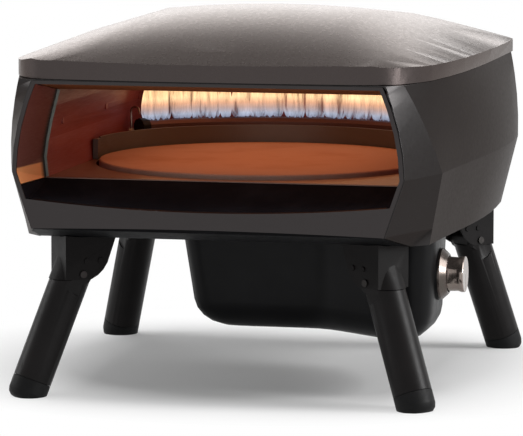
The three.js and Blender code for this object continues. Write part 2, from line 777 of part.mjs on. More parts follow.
// The whole right wall, from a height just over the base pan.
const linerLine = () => [
  [LINER_FOOT_HALF, PAN_TOP_Z + RUN_GAP],
  [LINER_FOOT_HALF, FLOOR_Z],
  ...linerCurl(),
];

function buildLiner() {
  const wall = prismY(band(linerLine(), -LINER_SHEET), CHAMBER_FRONT_Y, CHAMBER_BACK_Y);
  const bolts = BOLT_SHARES.map((share) => {
    const y = lerp(CHAMBER_FRONT_Y, CHAMBER_BACK_Y, share);
    const reach = BOLT_HEAD_THICK + LINER_SHEET / 2;
    return alongX(rod(BOLT_HEAD_RADIUS, -reach, 0, BOLT_SIDES)).translate([linerHalf(BOLT_Z) + LINER_SHEET, y, BOLT_Z]);
  });
  const flangeLine = [[LINER_FOOT_HALF, FLOOR_Z + RUN_GAP], ...linerCurl()];
  const flange = prismY(band(flangeLine, LINER_FLANGE), CHAMBER_FRONT_Y, CHAMBER_FRONT_Y + LINER_SHEET);
  return joined([wall, flange, ...bolts]);
}

function buildBackLiner() {
  const front = CHAMBER_BACK_Y + SEAT_GAP;
  return prismY(mirrored(linerLine()), front, front + LINER_SHEET);
}

function buildChamberRoof() {
  const half = LINER_TOP_HALF + ROOF_OVERLAP;
  const line = [
    [FRAME_SHEET + RUN_GAP, MOUTH_TOP_Z + RUN_GAP],
    [CHAMBER_FRONT_Y, CHAMBER_TOP_Z + RUN_GAP],
    [CHAMBER_BACK_Y, CHAMBER_TOP_Z + RUN_GAP],
  ];
  return prismX(band(line, LINER_SHEET), -half, half);
}

function buildInsulation() {
  const half = LINER_TOP_HALF - INSULATION_EDGE;
  const low = CHAMBER_TOP_Z + RUN_GAP + LINER_SHEET + SEAT_GAP;
  const front = CHAMBER_FRONT_Y + INSULATION_EDGE;
  const back = CHAMBER_BACK_Y - INSULATION_EDGE;
  return box(-half, half, front, back, low, low + INSULATION_THICK);
}

// The cheek between the mouth's edge and the chamber: it leans in and closes the corner below.
function buildCheekLiner() {
  const back = linerCurl();
  const top = MOUTH_TOP_Z;
  const heights = back.map((point, i) => lerp(BELT_Z, top, i / LINER_STEPS));
  const front = [FLOOR_Z, ...heights].map((z) => [rimHalf(z) - RIM_STRIP + SEAT_GAP, z]);
  const rear = [[LINER_FOOT_HALF - SEAT_GAP, FLOOR_Z], ...back];
  const inner = [
    rear.map(([x, z]) => [x, CHAMBER_FRONT_Y - SEAT_GAP, z]),
    front.map(([x, z]) => [x, FRAME_SHEET + SEAT_GAP, z]),
  ];
  const outer = inner.map((row) => row.map(([x, y, z]) => [x + LINER_SHEET, y, z]));
  return sheet(outer, inner);
}

// The dark sheet from the lip up to the floor plate, with a wing up to the cheek at each side.
function buildApron() {
  const half = lipHalf - RIM_STRIP / 2;
  const [near, far] = [FRAME_SHEET + SEAT_GAP, CHAMBER_FRONT_Y - SEAT_GAP];
  const high = FLOOR_Z - FRAME_SHEET / 2;
  const wingHalf = LINER_FOOT_HALF - SEAT_GAP;
  const mirroredRow = (row) => [...row.map(([x, y, z]) => [-x, y, z]).reverse()];
  const frontWing = [[lipHalf, near, LIP_Z + LIP_RISE], [rimHalf(FLOOR_Z) - RIM_STRIP, near, high]];
  const backWing = [[(half + wingHalf) / 2, far, high], [wingHalf, far, high]];
  const lip = lipLine(half, LIP_STEPS).map(([x, z]) => [x, HEM_DEPTH + SEAT_GAP, z - FRAME_SHEET / 2]);
  const front = [...mirroredRow(frontWing), ...lip, ...frontWing];
  const back = [...mirroredRow(backWing), ...lip.map(([x]) => [x, far, high]), ...backWing];
  const under = [front, back].map((row) => row.map(([x, y, z]) => [x, y, z - PLATE_SHEET]));
  return sheet([front, back], under);
}

// Turning stone and its drive

const STONE_TOP_Z = FLOOR_Z + STONE_PROUD;
const STONE_LOW_Z = STONE_TOP_Z - STONE_THICK;
const CARRIER_Z = STONE_LOW_Z - SEAT_GAP;
const HUB_LOW_Z = CARRIER_Z - CARRIER_SHEET - CARRIER_HUB_LENGTH;
const GEARBOX_TOP_Z = BASE_Z - GEARBOX_DROP;

function buildStone() {
  return turned([
    [0, STONE_LOW_Z],
    [STONE_RADIUS - STONE_EDGE, STONE_LOW_Z],
    [STONE_RADIUS, STONE_LOW_Z + STONE_EDGE],
    [STONE_RADIUS, STONE_TOP_Z - STONE_EDGE],
    [STONE_RADIUS - STONE_EDGE, STONE_TOP_Z],
    [0, STONE_TOP_Z],
  ], ROUND_SIDES).translate([0, STONE_Y, 0]);
}

function buildCarrier() {
  const low = CARRIER_Z - CARRIER_SHEET;
  const disc = rod(CARRIER_DISC_RADIUS, low, CARRIER_Z, ROUND_SIDES);
  const arms = [];
  for (let i = 0; i < CARRIER_ARMS; i += 1) {
    const half = CARRIER_ARM_WIDTH / 2;
    const arm = box(0, CARRIER_ARM_REACH, -half, half, low, CARRIER_Z);
    arms.push(arm.rotate([0, 0, (i * 360) / CARRIER_ARMS + CARRIER_ARM_TURN]));
  }
  const hub = rod(CARRIER_HUB_RADIUS, HUB_LOW_Z, CARRIER_Z - CARRIER_SHEET / 2, ROD_SIDES);
  const bore = rod(SHAFT_RADIUS + SEAT_GAP, HUB_LOW_Z - OVERRUN, HUB_LOW_Z + SHAFT_ENTRY + SEAT_GAP, ROD_SIDES);
  return joined([disc, ...arms, hub]).subtract(bore).translate([0, STONE_Y, 0]);
}

function buildShaft() {
  const low = GEARBOX_TOP_Z - SHAFT_ENTRY;
  return rod(SHAFT_RADIUS, low, HUB_LOW_Z + SHAFT_ENTRY, ROD_SIDES).translate([0, STONE_Y, 0]);
}

const BUSH_RADIUS = SHAFT_RADIUS + SEAT_GAP + BUSH_WALL;

function buildBush() {
  const low = BASE_Z - BUSH_LENGTH / 2;
  const seat = PAN_TOP_Z + SEAT_GAP;
  const bore = SHAFT_RADIUS + SEAT_GAP;
  return turned([
    [bore, low],
    [BUSH_RADIUS, low],
    [BUSH_RADIUS, seat],
    [BUSH_RADIUS + BUSH_FLANGE, seat],
    [BUSH_RADIUS + BUSH_FLANGE, seat + BUSH_WALL / 2],
    [bore, seat + BUSH_WALL / 2],
    [bore, low],
  ], ROD_SIDES).translate([0, STONE_Y, 0]);
}

function buildGearMotor() {
  const low = GEARBOX_TOP_Z - GEARBOX_THICK;
  const [w, d] = [GEARBOX_WIDTH / 2, GEARBOX_DEPTH / 2];
  const gearbox = prismZ(rounded([[-w, -d], [w, -d], [w, d], [-w, d]], MOTOR_POST_RADIUS), low, GEARBOX_TOP_Z);
  const motor = rod(MOTOR_RADIUS, low - MOTOR_LENGTH, low + OVERRUN, ROD_SIDES);
  const posts = [];
  for (const sx of [-1, 1]) {
    for (const sy of [-1, 1]) {
      const inward = MOTOR_POST_RADIUS * POST_INSET_SHARE;
      const post = rod(MOTOR_POST_RADIUS, low + OVERRUN, BASE_Z, BOLT_SIDES);
      posts.push(post.translate([sx * (w - inward), sy * (d - inward), 0]));
    }
  }
  const socket = rod(SHAFT_RADIUS + SEAT_GAP, GEARBOX_TOP_Z - SHAFT_ENTRY - SEAT_GAP, GEARBOX_TOP_Z + OVERRUN, ROD_SIDES);
  return joined([gearbox, motor, ...posts]).subtract(socket).translate([0, STONE_Y, 0]);
}

// Floor plate, deflector and burner

// A point on a circle about the stone's axis, at an angle from the right-hand side.
function onArc(radius, angle, z) {
  return [radius * Math.cos(angle), STONE_Y + radius * Math.sin(angle), z];
}

const BURNER_START = Math.acos(BURNER_HALF_SPAN / BURNER_ARC_RADIUS);
const BURNER_END = Math.PI - BURNER_START;

function arcLine(radius, from, to, steps, z) {
  const points = [];
  for (let i = 0; i <= steps; i += 1) points.push(onArc(radius, lerp(from, to, i / steps), z));
  return points;
}

function arcTube(radius, bore, from, to, steps) {
  const shape = new THREE.Shape();
  shape.absarc(0, 0, radius, 0, 2 * Math.PI);
  if (bore > 0) {
    const hole = new THREE.Path();
    hole.absarc(0, 0, bore, 0, 2 * Math.PI, true);
    shape.holes.push(hole);
  }
  const line = arcLine(BURNER_ARC_RADIUS, from, to, steps, BURNER_AXIS_Z);
  const path = new THREE.CatmullRomCurve3(line.map((p) => new THREE.Vector3(...p)));
  const options = { steps, curveSegments: BURNER_SIDES, extrudePath: path, bevelEnabled: false };
  return solid(new THREE.ExtrudeGeometry(shape, options));
}

function buildBurner() {
  const bore = BURNER_TUBE_RADIUS - BURNER_TUBE_WALL;
  const tube = arcTube(BURNER_TUBE_RADIUS, bore, BURNER_START, BURNER_END, BURNER_STEPS);
  const ports = [];
  for (let i = 0; i < PORT_COUNT; i += 1) {
    const angle = lerp(BURNER_START, BURNER_END, (i + 1) / (PORT_COUNT + 1));
    const [w, l] = [PORT_WIDTH / 2, PORT_LENGTH / 2];
    const slot = box(-l, l, -w, w, BURNER_AXIS_Z, BURNER_AXIS_Z + BURNER_TUBE_RADIUS + OVERRUN);
    const [x, y] = onArc(BURNER_ARC_RADIUS, angle, 0);
    ports.push(slot.rotate([0, 0, THREE.MathUtils.radToDeg(angle)]).translate([x, y, 0]));
  }
  return tube.subtract(joined(ports));
}

// The burner's closed end sits in a cup.
function buildBurnerCup() {
  const reach = CUP_LENGTH / 2 / BURNER_ARC_RADIUS;
  const cup = arcTube(CUP_RADIUS, 0, BURNER_END - reach, BURNER_END + reach, 4);
  const bore = arcTube(BURNER_TUBE_RADIUS + SEAT_GAP, 0, BURNER_END - 3 * reach, BURNER_END + SEAT_GAP / BURNER_ARC_RADIUS, 6);
  return cup.subtract(bore);
}

const FLOOR_REST_Z = FLOOR_Z + SEAT_GAP;

// A saddle under the burner: an upright plate with a round seat, on a small foot.
function buildSaddle(share) {
  const angle = lerp(BURNER_START, BURNER_END, share);
  const half = SADDLE_WIDTH / 2;
  const thin = PLATE_SHEET / 2;
  const plate = box(-half, half, -thin, thin, FLOOR_REST_Z, BURNER_AXIS_Z);
  const foot = box(-half, half, -half, half, FLOOR_REST_Z, FLOOR_REST_Z + PLATE_SHEET);
  const seatRadius = BURNER_TUBE_RADIUS + SEAT_GAP;
  const seat = alongY(rod(seatRadius, -OVERRUN, OVERRUN, ROD_SIDES)).translate([0, 0, BURNER_AXIS_Z]);
  const [x, y] = onArc(BURNER_ARC_RADIUS, angle, 0);
  return plate.add(foot).subtract(seat).rotate([0, 0, THREE.MathUtils.radToDeg(angle)]).translate([x, y, 0]);
}

// Half a ring of sheet behind the stone, with a short post at each end.
function buildDeflector() {
  const top = FLOOR_REST_Z + DEFLECTOR_HEIGHT;
  const outer = DEFLECTOR_RADIUS + PLATE_SHEET;
  const flat = (points) => points.map(([x, y]) => [x, y]);
  const outerArc = flat(arcLine(outer, 0, Math.PI, DEFLECTOR_STEPS, 0));
  const innerArc = flat(arcLine(DEFLECTOR_RADIUS, Math.PI, 0, DEFLECTOR_STEPS, 0));
  const wall = prismZ([...outerArc, ...innerArc], FLOOR_REST_Z, top);
  const post = box(
    DEFLECTOR_RADIUS,
    LINER_FOOT_HALF - RUN_GAP,
    STONE_Y - POST_DEPTH,
    STONE_Y + PLATE_SHEET,
    FLOOR_REST_Z,
    top - PLATE_SHEET,
  );
  return joined([wall, post, post.mirror([1, 0, 0])]);
}

function buildFloorPlate(mixer) {
  const half = LINER_FOOT_HALF - RUN_GAP;
  const low = FLOOR_Z - PLATE_SHEET;
  const plate = box(-half, half, CHAMBER_FRONT_Y, CHAMBER_BACK_Y - RUN_GAP, low, FLOOR_Z);
  const hole = rod(STONE_RADIUS + STONE_GAP, low - OVERRUN, FLOOR_Z + OVERRUN, ROUND_SIDES);
  return plate.subtract(hole.translate([0, STONE_Y, 0])).subtract(mixer);
}

// The igniter: a rod bent over the burner, in a ceramic foot that stands on the floor.
const igniterPlace = [
  -IGNITER_X,
  STONE_Y + Math.sqrt(IGNITER_ARC_RADIUS ** 2 - IGNITER_X ** 2),
];

function buildInsulator() {
  const bore = IGNITER_ROD_RADIUS + SEAT_GAP;
  const top = FLOOR_REST_Z + INSULATOR_HEIGHT;
  const body = turned([
    [bore, FLOOR_REST_Z],
    [INSULATOR_RADIUS, FLOOR_REST_Z],
    [INSULATOR_RADIUS, top - INSULATOR_RADIUS],
    [INSULATOR_RADIUS - IGNITER_ROD_RADIUS, top],
    [bore, top],
    [bore, FLOOR_REST_Z],
  ], BOLT_SIDES);
  return body.translate([...igniterPlace, 0]);
}

function buildIgniterRod() {
  const [x, y] = igniterPlace;
  const towards = new THREE.Vector2(-x, STONE_Y - y).setLength(IGNITER_REACH);
  const [tipX, tipY] = [x + towards.x, y + towards.y];
  const bend = IGNITER_ROD_RADIUS * 2;
  return pipe([
    [x, y, FLOOR_REST_Z],
    [x, y, FLOOR_REST_Z + INSULATOR_HEIGHT],
    [x, y, FLOOR_REST_Z + INSULATOR_HEIGHT + INSULATOR_RADIUS],
    [x, y, IGNITER_TOP_Z - bend],
    [lerp(x, tipX, BEND_SHARE), lerp(y, tipY, BEND_SHARE), IGNITER_TOP_Z],
    [lerp(tipX, x, BEND_SHARE), lerp(tipY, y, BEND_SHARE), IGNITER_TOP_Z],
    [tipX, tipY, IGNITER_TOP_Z - bend],
    [tipX, tipY, IGNITER_TOP_Z - IGNITER_DROP],
  ], IGNITER_ROD_RADIUS, PIPE_SIDES, 20);
}

// The mixing tube rises from the valve, runs under the floor and turns into the burner's end.
function mixerSolid(radius, past) {
  const end = new THREE.Vector3(...onArc(BURNER_ARC_RADIUS, BURNER_START, BURNER_AXIS_Z));
  const along = new THREE.Vector3(Math.sin(BURNER_START), -Math.cos(BURNER_START), 0);
  const mouth = end.clone().addScaledVector(along, SEAT_GAP - past);
  const near = end.clone().addScaledVector(along, MIXER_BEND);
  const points = [
    [MIXER_X, KNOB_Y, VALVE_TOP_Z + SEAT_GAP - past],
    [MIXER_X, KNOB_Y, PAN_TOP_Z + MIXER_BEND],
    [MIXER_RUN_X, STONE_Y, MIXER_RUN_Z],
    [MIXER_RUN_X, near.y - 2 * MIXER_BEND, MIXER_RUN_Z],
    [MIXER_RUN_X, near.y - MIXER_BEND / 2, FLOOR_Z],
    near.toArray(),
    mouth.toArray(),
  ];
  return pipe(points, radius, BURNER_SIDES, MIXER_STEPS);
}

// Base pan

const SKIRT_TOP_Z = SILL_Z + PAN_RIM;

function buildBasePan(cuts) {
  const low = BASE_Z + SEAT_GAP;
  const front = FRAME_SHEET + RUN_GAP;
  const line = [
    [front, SKIRT_TOP_Z],
    [front, SILL_Z - PLATE_SHEET / 2],
    [BASE_FRONT_Y, low],
    [BASE_BACK_Y, low],
  ];
  const far = BELT_BACK_HALF + BELT_BOW;
  const pan = prismX(band(line, PLATE_SHEET), -far, far).intersect(bodyRoom(SHELL_WALL + SEAT_GAP));
  const notches = [];
  for (let i = 0; i < NOTCH_COUNT; i += 1) {
    const x = (i - (NOTCH_COUNT - 1) / 2) * NOTCH_PITCH;
    const [w, d] = [NOTCH_WIDTH / 2, NOTCH_WIDTH / 2];
    notches.push(box(x - w, x + w, BASE_FRONT_Y - d, BASE_FRONT_Y + d, low - OVERRUN, low + OVERRUN));
  }
  for (let i = 0; i < VENT_COUNT; i += 1) {
    const x = (i - (VENT_COUNT - 1) / 2) * VENT_PITCH;
    const [w, d] = [VENT_WIDTH / 2, VENT_LENGTH / 2];
    notches.push(box(x - w, x + w, VENT_Y - d, VENT_Y + d, low - OVERRUN, low + OVERRUN));
  }
  const shaftHole = rod(BUSH_RADIUS + SEAT_GAP, low - OVERRUN, low + OVERRUN, ROD_SIDES);
  return pan.subtract(joined(notches)).subtract(shaftHole.translate([0, STONE_Y, 0])).subtract(cuts);
}

// Housing

const HOUSING_TOP_Z = BASE_Z;
const HOUSING_CORNERS = [
  [HOUSING_LEFT_X, HOUSING_RECESS_Y],
  [HOUSING_RECESS_X, HOUSING_RECESS_Y],
  [HOUSING_NOSE_X, HOUSING_NOSE_Y],
  [HOUSING_RIGHT_X, HOUSING_NOSE_Y],
  [HOUSING_RIGHT_X, HOUSING_CHEEK_Y],
  [HOUSING_TAIL_X, HOUSING_BACK_Y],
  [HOUSING_LEFT_X, HOUSING_BACK_Y],
];

// The housing's plan at a height: drafted walls, and a rounded edge round its floor.
function housingRing(z, extra) {
  const depth = (HOUSING_TOP_Z - z) / (HOUSING_TOP_Z - HOUSING_FLOOR_Z);
  const low = (HOUSING_FLOOR_Z + HOUSING_FLOOR_RADIUS - z) / HOUSING_FLOOR_RADIUS;
  const sink = THREE.MathUtils.clamp(low, 0, 1);
  const round = HOUSING_FLOOR_RADIUS * (1 - Math.sqrt(1 - sink ** 2));
  const ring = inset(HOUSING_CORNERS, (a, b) => {
    const left = a[0] === HOUSING_LEFT_X && b[0] === HOUSING_LEFT_X;
    const right = a[0] === HOUSING_RIGHT_X && b[0] === HOUSING_RIGHT_X;
    const sideDraft = right ? HOUSING_DRAFT_RIGHT : HOUSING_DRAFT;
    return (left ? HOUSING_DRAFT_LEFT : sideDraft) * depth + round + extra;
  });
  return rounded(ring, HOUSING_CORNER);
}

function housingLevels() {
  const levels = [];
  for (let i = 0; i <= HOUSING_STEPS; i += 1) {
    const angle = (i / HOUSING_STEPS) * (Math.PI / 2);
    levels.push(HOUSING_FLOOR_Z + HOUSING_FLOOR_RADIUS * (1 - Math.cos(angle)));
  }
  return [...levels, HOUSING_TOP_Z];
}

// The boss behind the bezel stands just proud of the drafted wall at the bezel's top.
const BEZEL_TOP_SHARE = (HOUSING_TOP_Z - KNOB_Z - BEZEL_RADIUS) / (HOUSING_TOP_Z - HOUSING_FLOOR_Z);
const BOSS_X = HOUSING_RIGHT_X - HOUSING_DRAFT_RIGHT * BEZEL_TOP_SHARE + BOSS_PROUD;

function buildHousing() {
  const levels = housingLevels();
  const outer = loft(levels.map((z) => raised(housingRing(z, 0), z)));
  const inner = loft(levels.map((z) => {
    const rise = HOUSING_WALL * Math.max(1 - (z - HOUSING_FLOOR_Z) / HOUSING_FLOOR_RADIUS, 0);
    const past = z === HOUSING_TOP_Z ? OVERRUN : 0;
    return raised(housingRing(z, HOUSING_WALL), z + rise + past);
  }));
  const boss = alongX(rod(BOSS_RADIUS, HOUSING_RIGHT_X - BOSS_ROOT, BOSS_X, ROUND_SIDES / 2));
  const holeStart = HOUSING_RIGHT_X - 2 * OVERRUN;
  const stemHole = alongX(rod(VALVE_NOSE_RADIUS + SEAT_GAP, holeStart, BOSS_X + OVERRUN, ROD_SIDES));
  const inletHole = alongY(rod(INLET_RADIUS + SEAT_GAP, HOUSING_BACK_Y - INLET_LENGTH, HOUSING_BACK_Y + OVERRUN, ROD_SIDES));
  return outer.subtract(inner)
    .add(boss.translate([0, KNOB_Y, KNOB_Z]))
    .subtract(stemHole.translate([0, KNOB_Y, KNOB_Z]))
    .subtract(inletHole.translate([INLET_X, 0, INLET_Z]));
}

function buildBatteryBox() {
  const [w, d] = [BATTERY_WIDTH / 2, BATTERY_DEPTH / 2];
  const outline = rounded([[-w, -d], [w, -d], [w, d], [-w, d]], MOTOR_POST_RADIUS);
  const low = HOUSING_FLOOR_Z + HOUSING_WALL + SEAT_GAP;
  const body = prismZ(outline, low, low + BATTERY_HEIGHT);
  const seam = prismZ(outline, 0, SEAM_GROOVE).subtract(prismZ(inset(outline, SEAM_GROOVE), -OVERRUN, OVERRUN));
  return body.subtract(seam.translate([0, 0, low + BATTERY_HEIGHT * SEAM_SHARE])).translate([BATTERY_X, BATTERY_Y, 0]);
}

// Gas control, drawn along the knob's axis with heights measured outwards in x

const STEM_END_X = BOSS_X + KNOB_START + STEM_SOCKET;
const VALVE_NOSE_X = BOSS_X - SEAT_GAP;
const VALVE_BACK_X = VALVE_NOSE_X - VALVE_NOSE_LENGTH - VALVE_LENGTH;
const PLUNGER_X = VALVE_BACK_X + VALVE_WALL + PUSH_TRAVEL + SEAT_GAP;
const STEM_START_X = PLUNGER_X + PLUNGER_THICK + SEAT_GAP;

const onKnobAxis = (body) => alongX(body).translate([0, KNOB_Y, KNOB_Z]);

function buildValve() {
  const [h, d] = [VALVE_HEIGHT / 2, VALVE_DEPTH / 2];
  const right = VALVE_NOSE_X - VALVE_NOSE_LENGTH;
  const block = box(VALVE_BACK_X, right, KNOB_Y - d, KNOB_Y + d, KNOB_Z - h, KNOB_Z + h);
  const nose = onKnobAxis(rod(VALVE_NOSE_RADIUS, right - OVERRUN, VALVE_NOSE_X, ROD_SIDES));
  const guide = onKnobAxis(rod(STEM_RADIUS + SEAT_GAP, VALVE_BACK_X + VALVE_WALL, VALVE_NOSE_X + OVERRUN, ROD_SIDES));
  const chamberEnd = STEM_START_X + PUSH_TRAVEL;
  const room = onKnobAxis(rod(PLUNGER_RADIUS + SEAT_GAP, VALVE_BACK_X + VALVE_WALL, chamberEnd, ROD_SIDES));
  return joined([block, nose]).subtract(guide).subtract(room);
}

function buildPlunger() {
  return onKnobAxis(rod(PLUNGER_RADIUS, PLUNGER_X, PLUNGER_X + PLUNGER_THICK, ROD_SIDES));
}

function buildStem() {
  return onKnobAxis(rod(STEM_RADIUS, STEM_START_X, STEM_END_X, ROD_SIDES));
}

function buildBezel() {
  const low = BOSS_X + SEAT_GAP;
  const floor = low + BEZEL_LIP;
  const bore = KNOB_RIM_RADIUS + RUN_GAP;
  return onKnobAxis(turned([
    [STEM_RADIUS + RUN_GAP, low],
    [BEZEL_RADIUS, low],
    [BEZEL_RADIUS, floor],
    [BEZEL_FRONT_RADIUS, low + BEZEL_DEPTH],
    [bore, low + BEZEL_DEPTH],
    [bore, floor],
    [STEM_RADIUS + RUN_GAP, floor],
    [STEM_RADIUS + RUN_GAP, low],
  ], ROUND_SIDES / 2));
}

// The knob: a waisted grip with a wider rim, two flats and a blind socket for the stem.
function buildKnob() {
  const low = BOSS_X + BEZEL_LIP + KNOB_START;
  const high = low + KNOB_LENGTH;
  const rimLow = high - KNOB_RIM_THICK;
  const grip = turned([
    [0, low],
    [KNOB_RADIUS, low],
    [KNOB_RADIUS - RUN_GAP, rimLow - KNOB_RIM_THICK],
    [KNOB_RIM_RADIUS, rimLow],
    [KNOB_RIM_RADIUS, high - RUN_GAP],
    [KNOB_RIM_RADIUS - RUN_GAP, high],
    [0, high],
  ], ROUND_SIDES / 2);
  const flats = [];
  for (let i = 0; i < KNOB_FLATS; i += 1) {
    const from = KNOB_RADIUS - KNOB_FLAT_DEPTH;
    const cut = box(from, from + KNOB_RADIUS, -KNOB_RADIUS, KNOB_RADIUS, low - OVERRUN, rimLow - KNOB_RIM_THICK);
    flats.push(cut.rotate([0, 0, KNOB_FLAT_TURN + (i * 360) / KNOB_FLATS]));
  }
  const socket = rod(STEM_RADIUS + SEAT_GAP, low - OVERRUN, STEM_END_X + SEAT_GAP, ROD_SIDES);
  const pointer = box(0, KNOB_RIM_RADIUS, -RUN_GAP, RUN_GAP, high - RUN_GAP, high + OVERRUN);
  return onKnobAxis(grip.subtract(joined(flats)).subtract(socket).subtract(pointer));
}

function buildInlet() {
  const hexLow = HOUSING_BACK_Y + SEAT_GAP;
  const parts = [
    rod(INLET_RADIUS, HOUSING_BACK_Y - INLET_LENGTH, hexLow + OVERRUN, ROD_SIDES),
    rod(INLET_HEX_RADIUS, hexLow, hexLow + INLET_HEX_THICK, 6),
    rod(INLET_RADIUS * BARB_SHARE, hexLow, hexLow + INLET_HEX_THICK + INLET_LENGTH / 2, ROD_SIDES),
  ];
  return alongY(joined(parts)).translate([INLET_X, 0, INLET_Z]);
}

function buildGasPipe() {
  const lane = (GEARBOX_WIDTH / 2 + BATTERY_X - BATTERY_WIDTH / 2) / 2;
  const start = HOUSING_BACK_Y - INLET_LENGTH - SEAT_GAP;
  return pipe([
    [INLET_X, start, INLET_Z],
    [INLET_X, start - PIPE_BEND / 2, INLET_Z],
    [lerp(INLET_X, lane, LANE_SHARE), start - PIPE_BEND, INLET_Z],
    [lane, STONE_Y + GEARBOX_DEPTH / 2, INLET_Z],
    [lane, STONE_Y, INLET_Z],
    [lane + PIPE_RUN, lerp(KNOB_Y, STONE_Y, LANE_BACK_SHARE), lerp(INLET_Z, KNOB_Z, BEND_SHARE)],
    [VALVE_BACK_X - PIPE_BEND, KNOB_Y, KNOB_Z],
    [VALVE_BACK_X - SEAT_GAP, KNOB_Y, KNOB_Z],
  ], PIPE_RADIUS, PIPE_SIDES, PIPE_STEPS);
}

// Legs

const FOOT_OUT = SEAM_Z * Math.tan(LEG_TILT) - BRACKET_FACE_OUT;
const TILT_DEG = THREE.MathUtils.radToDeg(LEG_TILT);

// A solid about the leg's own axis, leaned so that the axis meets the floor under the foot.
function leaned(body) {
  return body.rotate([0, -TILT_DEG, 0]).translate([FOOT_OUT, 0, 0]);
}

// A thing drawn across the leg's plane, centred on a point of that plane.
const across = (body, s, z) => alongY(body).translate([s, 0, z]);

function buildBracket(panUnderside) {
  const turnIn = new THREE.QuadraticBezierCurve(
    new THREE.Vector2(-BRACKET_WAIST_LENGTH, BRACKET_WAIST_Z),
    new THREE.Vector2(-BRACKET_TURN_LENGTH, BRACKET_TURN_Z),
    new THREE.Vector2(-BRACKET_FOOT_LENGTH, SEAM_Z + RUN_GAP),
  );
  const outline = [
    [0, SEAM_Z + RUN_GAP],
    [0, SKIRT_TOP_Z],
    [-BRACKET_TOP_LENGTH, SKIRT_TOP_Z],
    [-BRACKET_TOP_LENGTH, BASE_Z - BRACKET_SHEET],
    ...turnIn.getPoints(FILLET_STEPS).map((p) => [p.x, p.y]),
  ];
  const plateIn = BRACKET_HALF_WIDTH - BRACKET_SHEET;
  const plate = prismY(outline, plateIn, BRACKET_HALF_WIDTH);
  const face = box(-BRACKET_SHEET, 0, -BRACKET_HALF_WIDTH, BRACKET_HALF_WIDTH, SEAM_Z + RUN_GAP, SKIRT_TOP_Z);
  const top = box(
    -BRACKET_TOP_LENGTH,
    0,
    -BRACKET_HALF_WIDTH,
    BRACKET_HALF_WIDTH,
    BASE_Z - BRACKET_SHEET,
    BASE_Z,
  );
  const cover = leaned(rod(LEG_RADIUS + COVER_PROUD, 0, SKIRT_TOP_Z, LEG_SIDES))
    .intersect(box(-BRACKET_SHEET, BRACKET_TOP_LENGTH, -BRACKET_HALF_WIDTH, BRACKET_HALF_WIDTH, SEAM_Z + RUN_GAP, BASE_Z));
  const rivets = [];
  for (const s of [RIVET_IN, RIVET_FAR_IN]) {
    const rivet = rod(RIVET_RADIUS, -RIVET_THICK - BRACKET_HALF_WIDTH, -plateIn, BOLT_SIDES);
    rivets.push(across(rivet, -s, RIVET_Z), across(rivet, -s, RIVET_Z).mirror([0, 1, 0]));
  }
  const bore = across(rod(PIVOT_RADIUS + PIN_GAP, -2 * LEG_RADIUS, 2 * LEG_RADIUS, PIN_SIDES), -PIVOT_IN, PIVOT_Z);
  return joined([plate, plate.mirror([0, 1, 0]), face, top, cover, ...rivets]).subtract(bore).subtract(panUnderside);
}

function buildPin() {
  const reach = BRACKET_HALF_WIDTH + SEAT_GAP;
  return across(turned([
    [0, -reach - PIVOT_HEAD_THICK],
    [PIVOT_HEAD_RADIUS, -reach - PIVOT_HEAD_THICK],
    [PIVOT_HEAD_RADIUS, -reach],
    [PIVOT_RADIUS, -reach],
    [PIVOT_RADIUS, reach],
    [PIVOT_HEAD_RADIUS, reach],
    [PIVOT_HEAD_RADIUS, reach + PIVOT_HEAD_THICK],
    [0, reach + PIVOT_HEAD_THICK],
  ], PIN_SIDES), -PIVOT_IN, PIVOT_Z);
}

function buildLeg() {
  const tube = leaned(rod(LEG_RADIUS, FOOT_HEIGHT, SKIRT_TOP_Z, LEG_SIDES));
  const bore = leaned(rod(LEG_RADIUS - LEG_WALL, 0, SEAM_Z - KNUCKLE_LENGTH, LEG_SIDES));
  const far = 2 * SEAM_Z;
  const above = box(-far, far, -far, far, SEAM_Z, far);
  const ear = across(rod(EAR_RADIUS, -EAR_HALF_WIDTH, EAR_HALF_WIDTH, ROD_SIDES), -PIVOT_IN, PIVOT_Z);
  const neck = box(
    -PIVOT_IN - EAR_RADIUS,
    -PIVOT_IN + EAR_RADIUS,
    -EAR_HALF_WIDTH,
    EAR_HALF_WIDTH,
    SEAM_Z - EAR_RADIUS / 2,
    PIVOT_Z,
  );
  const neckInTube = neck.intersect(leaned(rod(LEG_RADIUS, 0, SKIRT_TOP_Z, LEG_SIDES)));
  const flank = across(rod(FLAT_REACH, EAR_HALF_WIDTH, 2 * EAR_HALF_WIDTH, LEG_SIDES), -PIVOT_IN, PIVOT_Z);
  const bolt = across(rod(PIVOT_RADIUS + PIN_GAP, -far, far, PIN_SIDES), -PIVOT_IN, PIVOT_Z);
  return tube.subtract(above)
    .add(ear)
    .add(neckInTube)
    .subtract(flank)
    .subtract(flank.mirror([0, 1, 0]))
    .subtract(bore)
    .subtract(bolt);
}

// A rubber foot: round under the leg, cut level with the floor, with a plug up the tube.
function buildFoot() {
  const profile = [[0, -FOOT_TOE]];
  for (let i = 0; i <= FILLET_STEPS; i += 1) {
    const angle = (i / FILLET_STEPS) * (Math.PI / 2);
    profile.push([
      LEG_RADIUS - FOOT_ROUND * (1 - Math.sin(angle)),
      -FOOT_TOE + FOOT_ROUND * (1 - Math.cos(angle)),
    ]);
  }
  const top = FOOT_HEIGHT - SEAT_GAP;
  const plug = LEG_RADIUS - LEG_WALL - SEAT_GAP;
  profile.push([LEG_RADIUS, top], [plug, top], [plug, top + FOOT_PLUG], [0, top + FOOT_PLUG]);
  const far = 2 * SEAM_Z;
  return leaned(turned(profile, LEG_SIDES)).subtract(box(-far, far, -far, far, -far, 0));
}

// Moves a solid from the leg's plane to its place on the right-hand side.
function planted(body, half, y, heading) {
  const [c, s] = [Math.cos(heading), Math.sin(heading)];
  return body.rotate([0, 0, THREE.MathUtils.radToDeg(heading)])
    .translate([half - FOOT_OUT * c, y - FOOT_OUT * s, 0]);
}

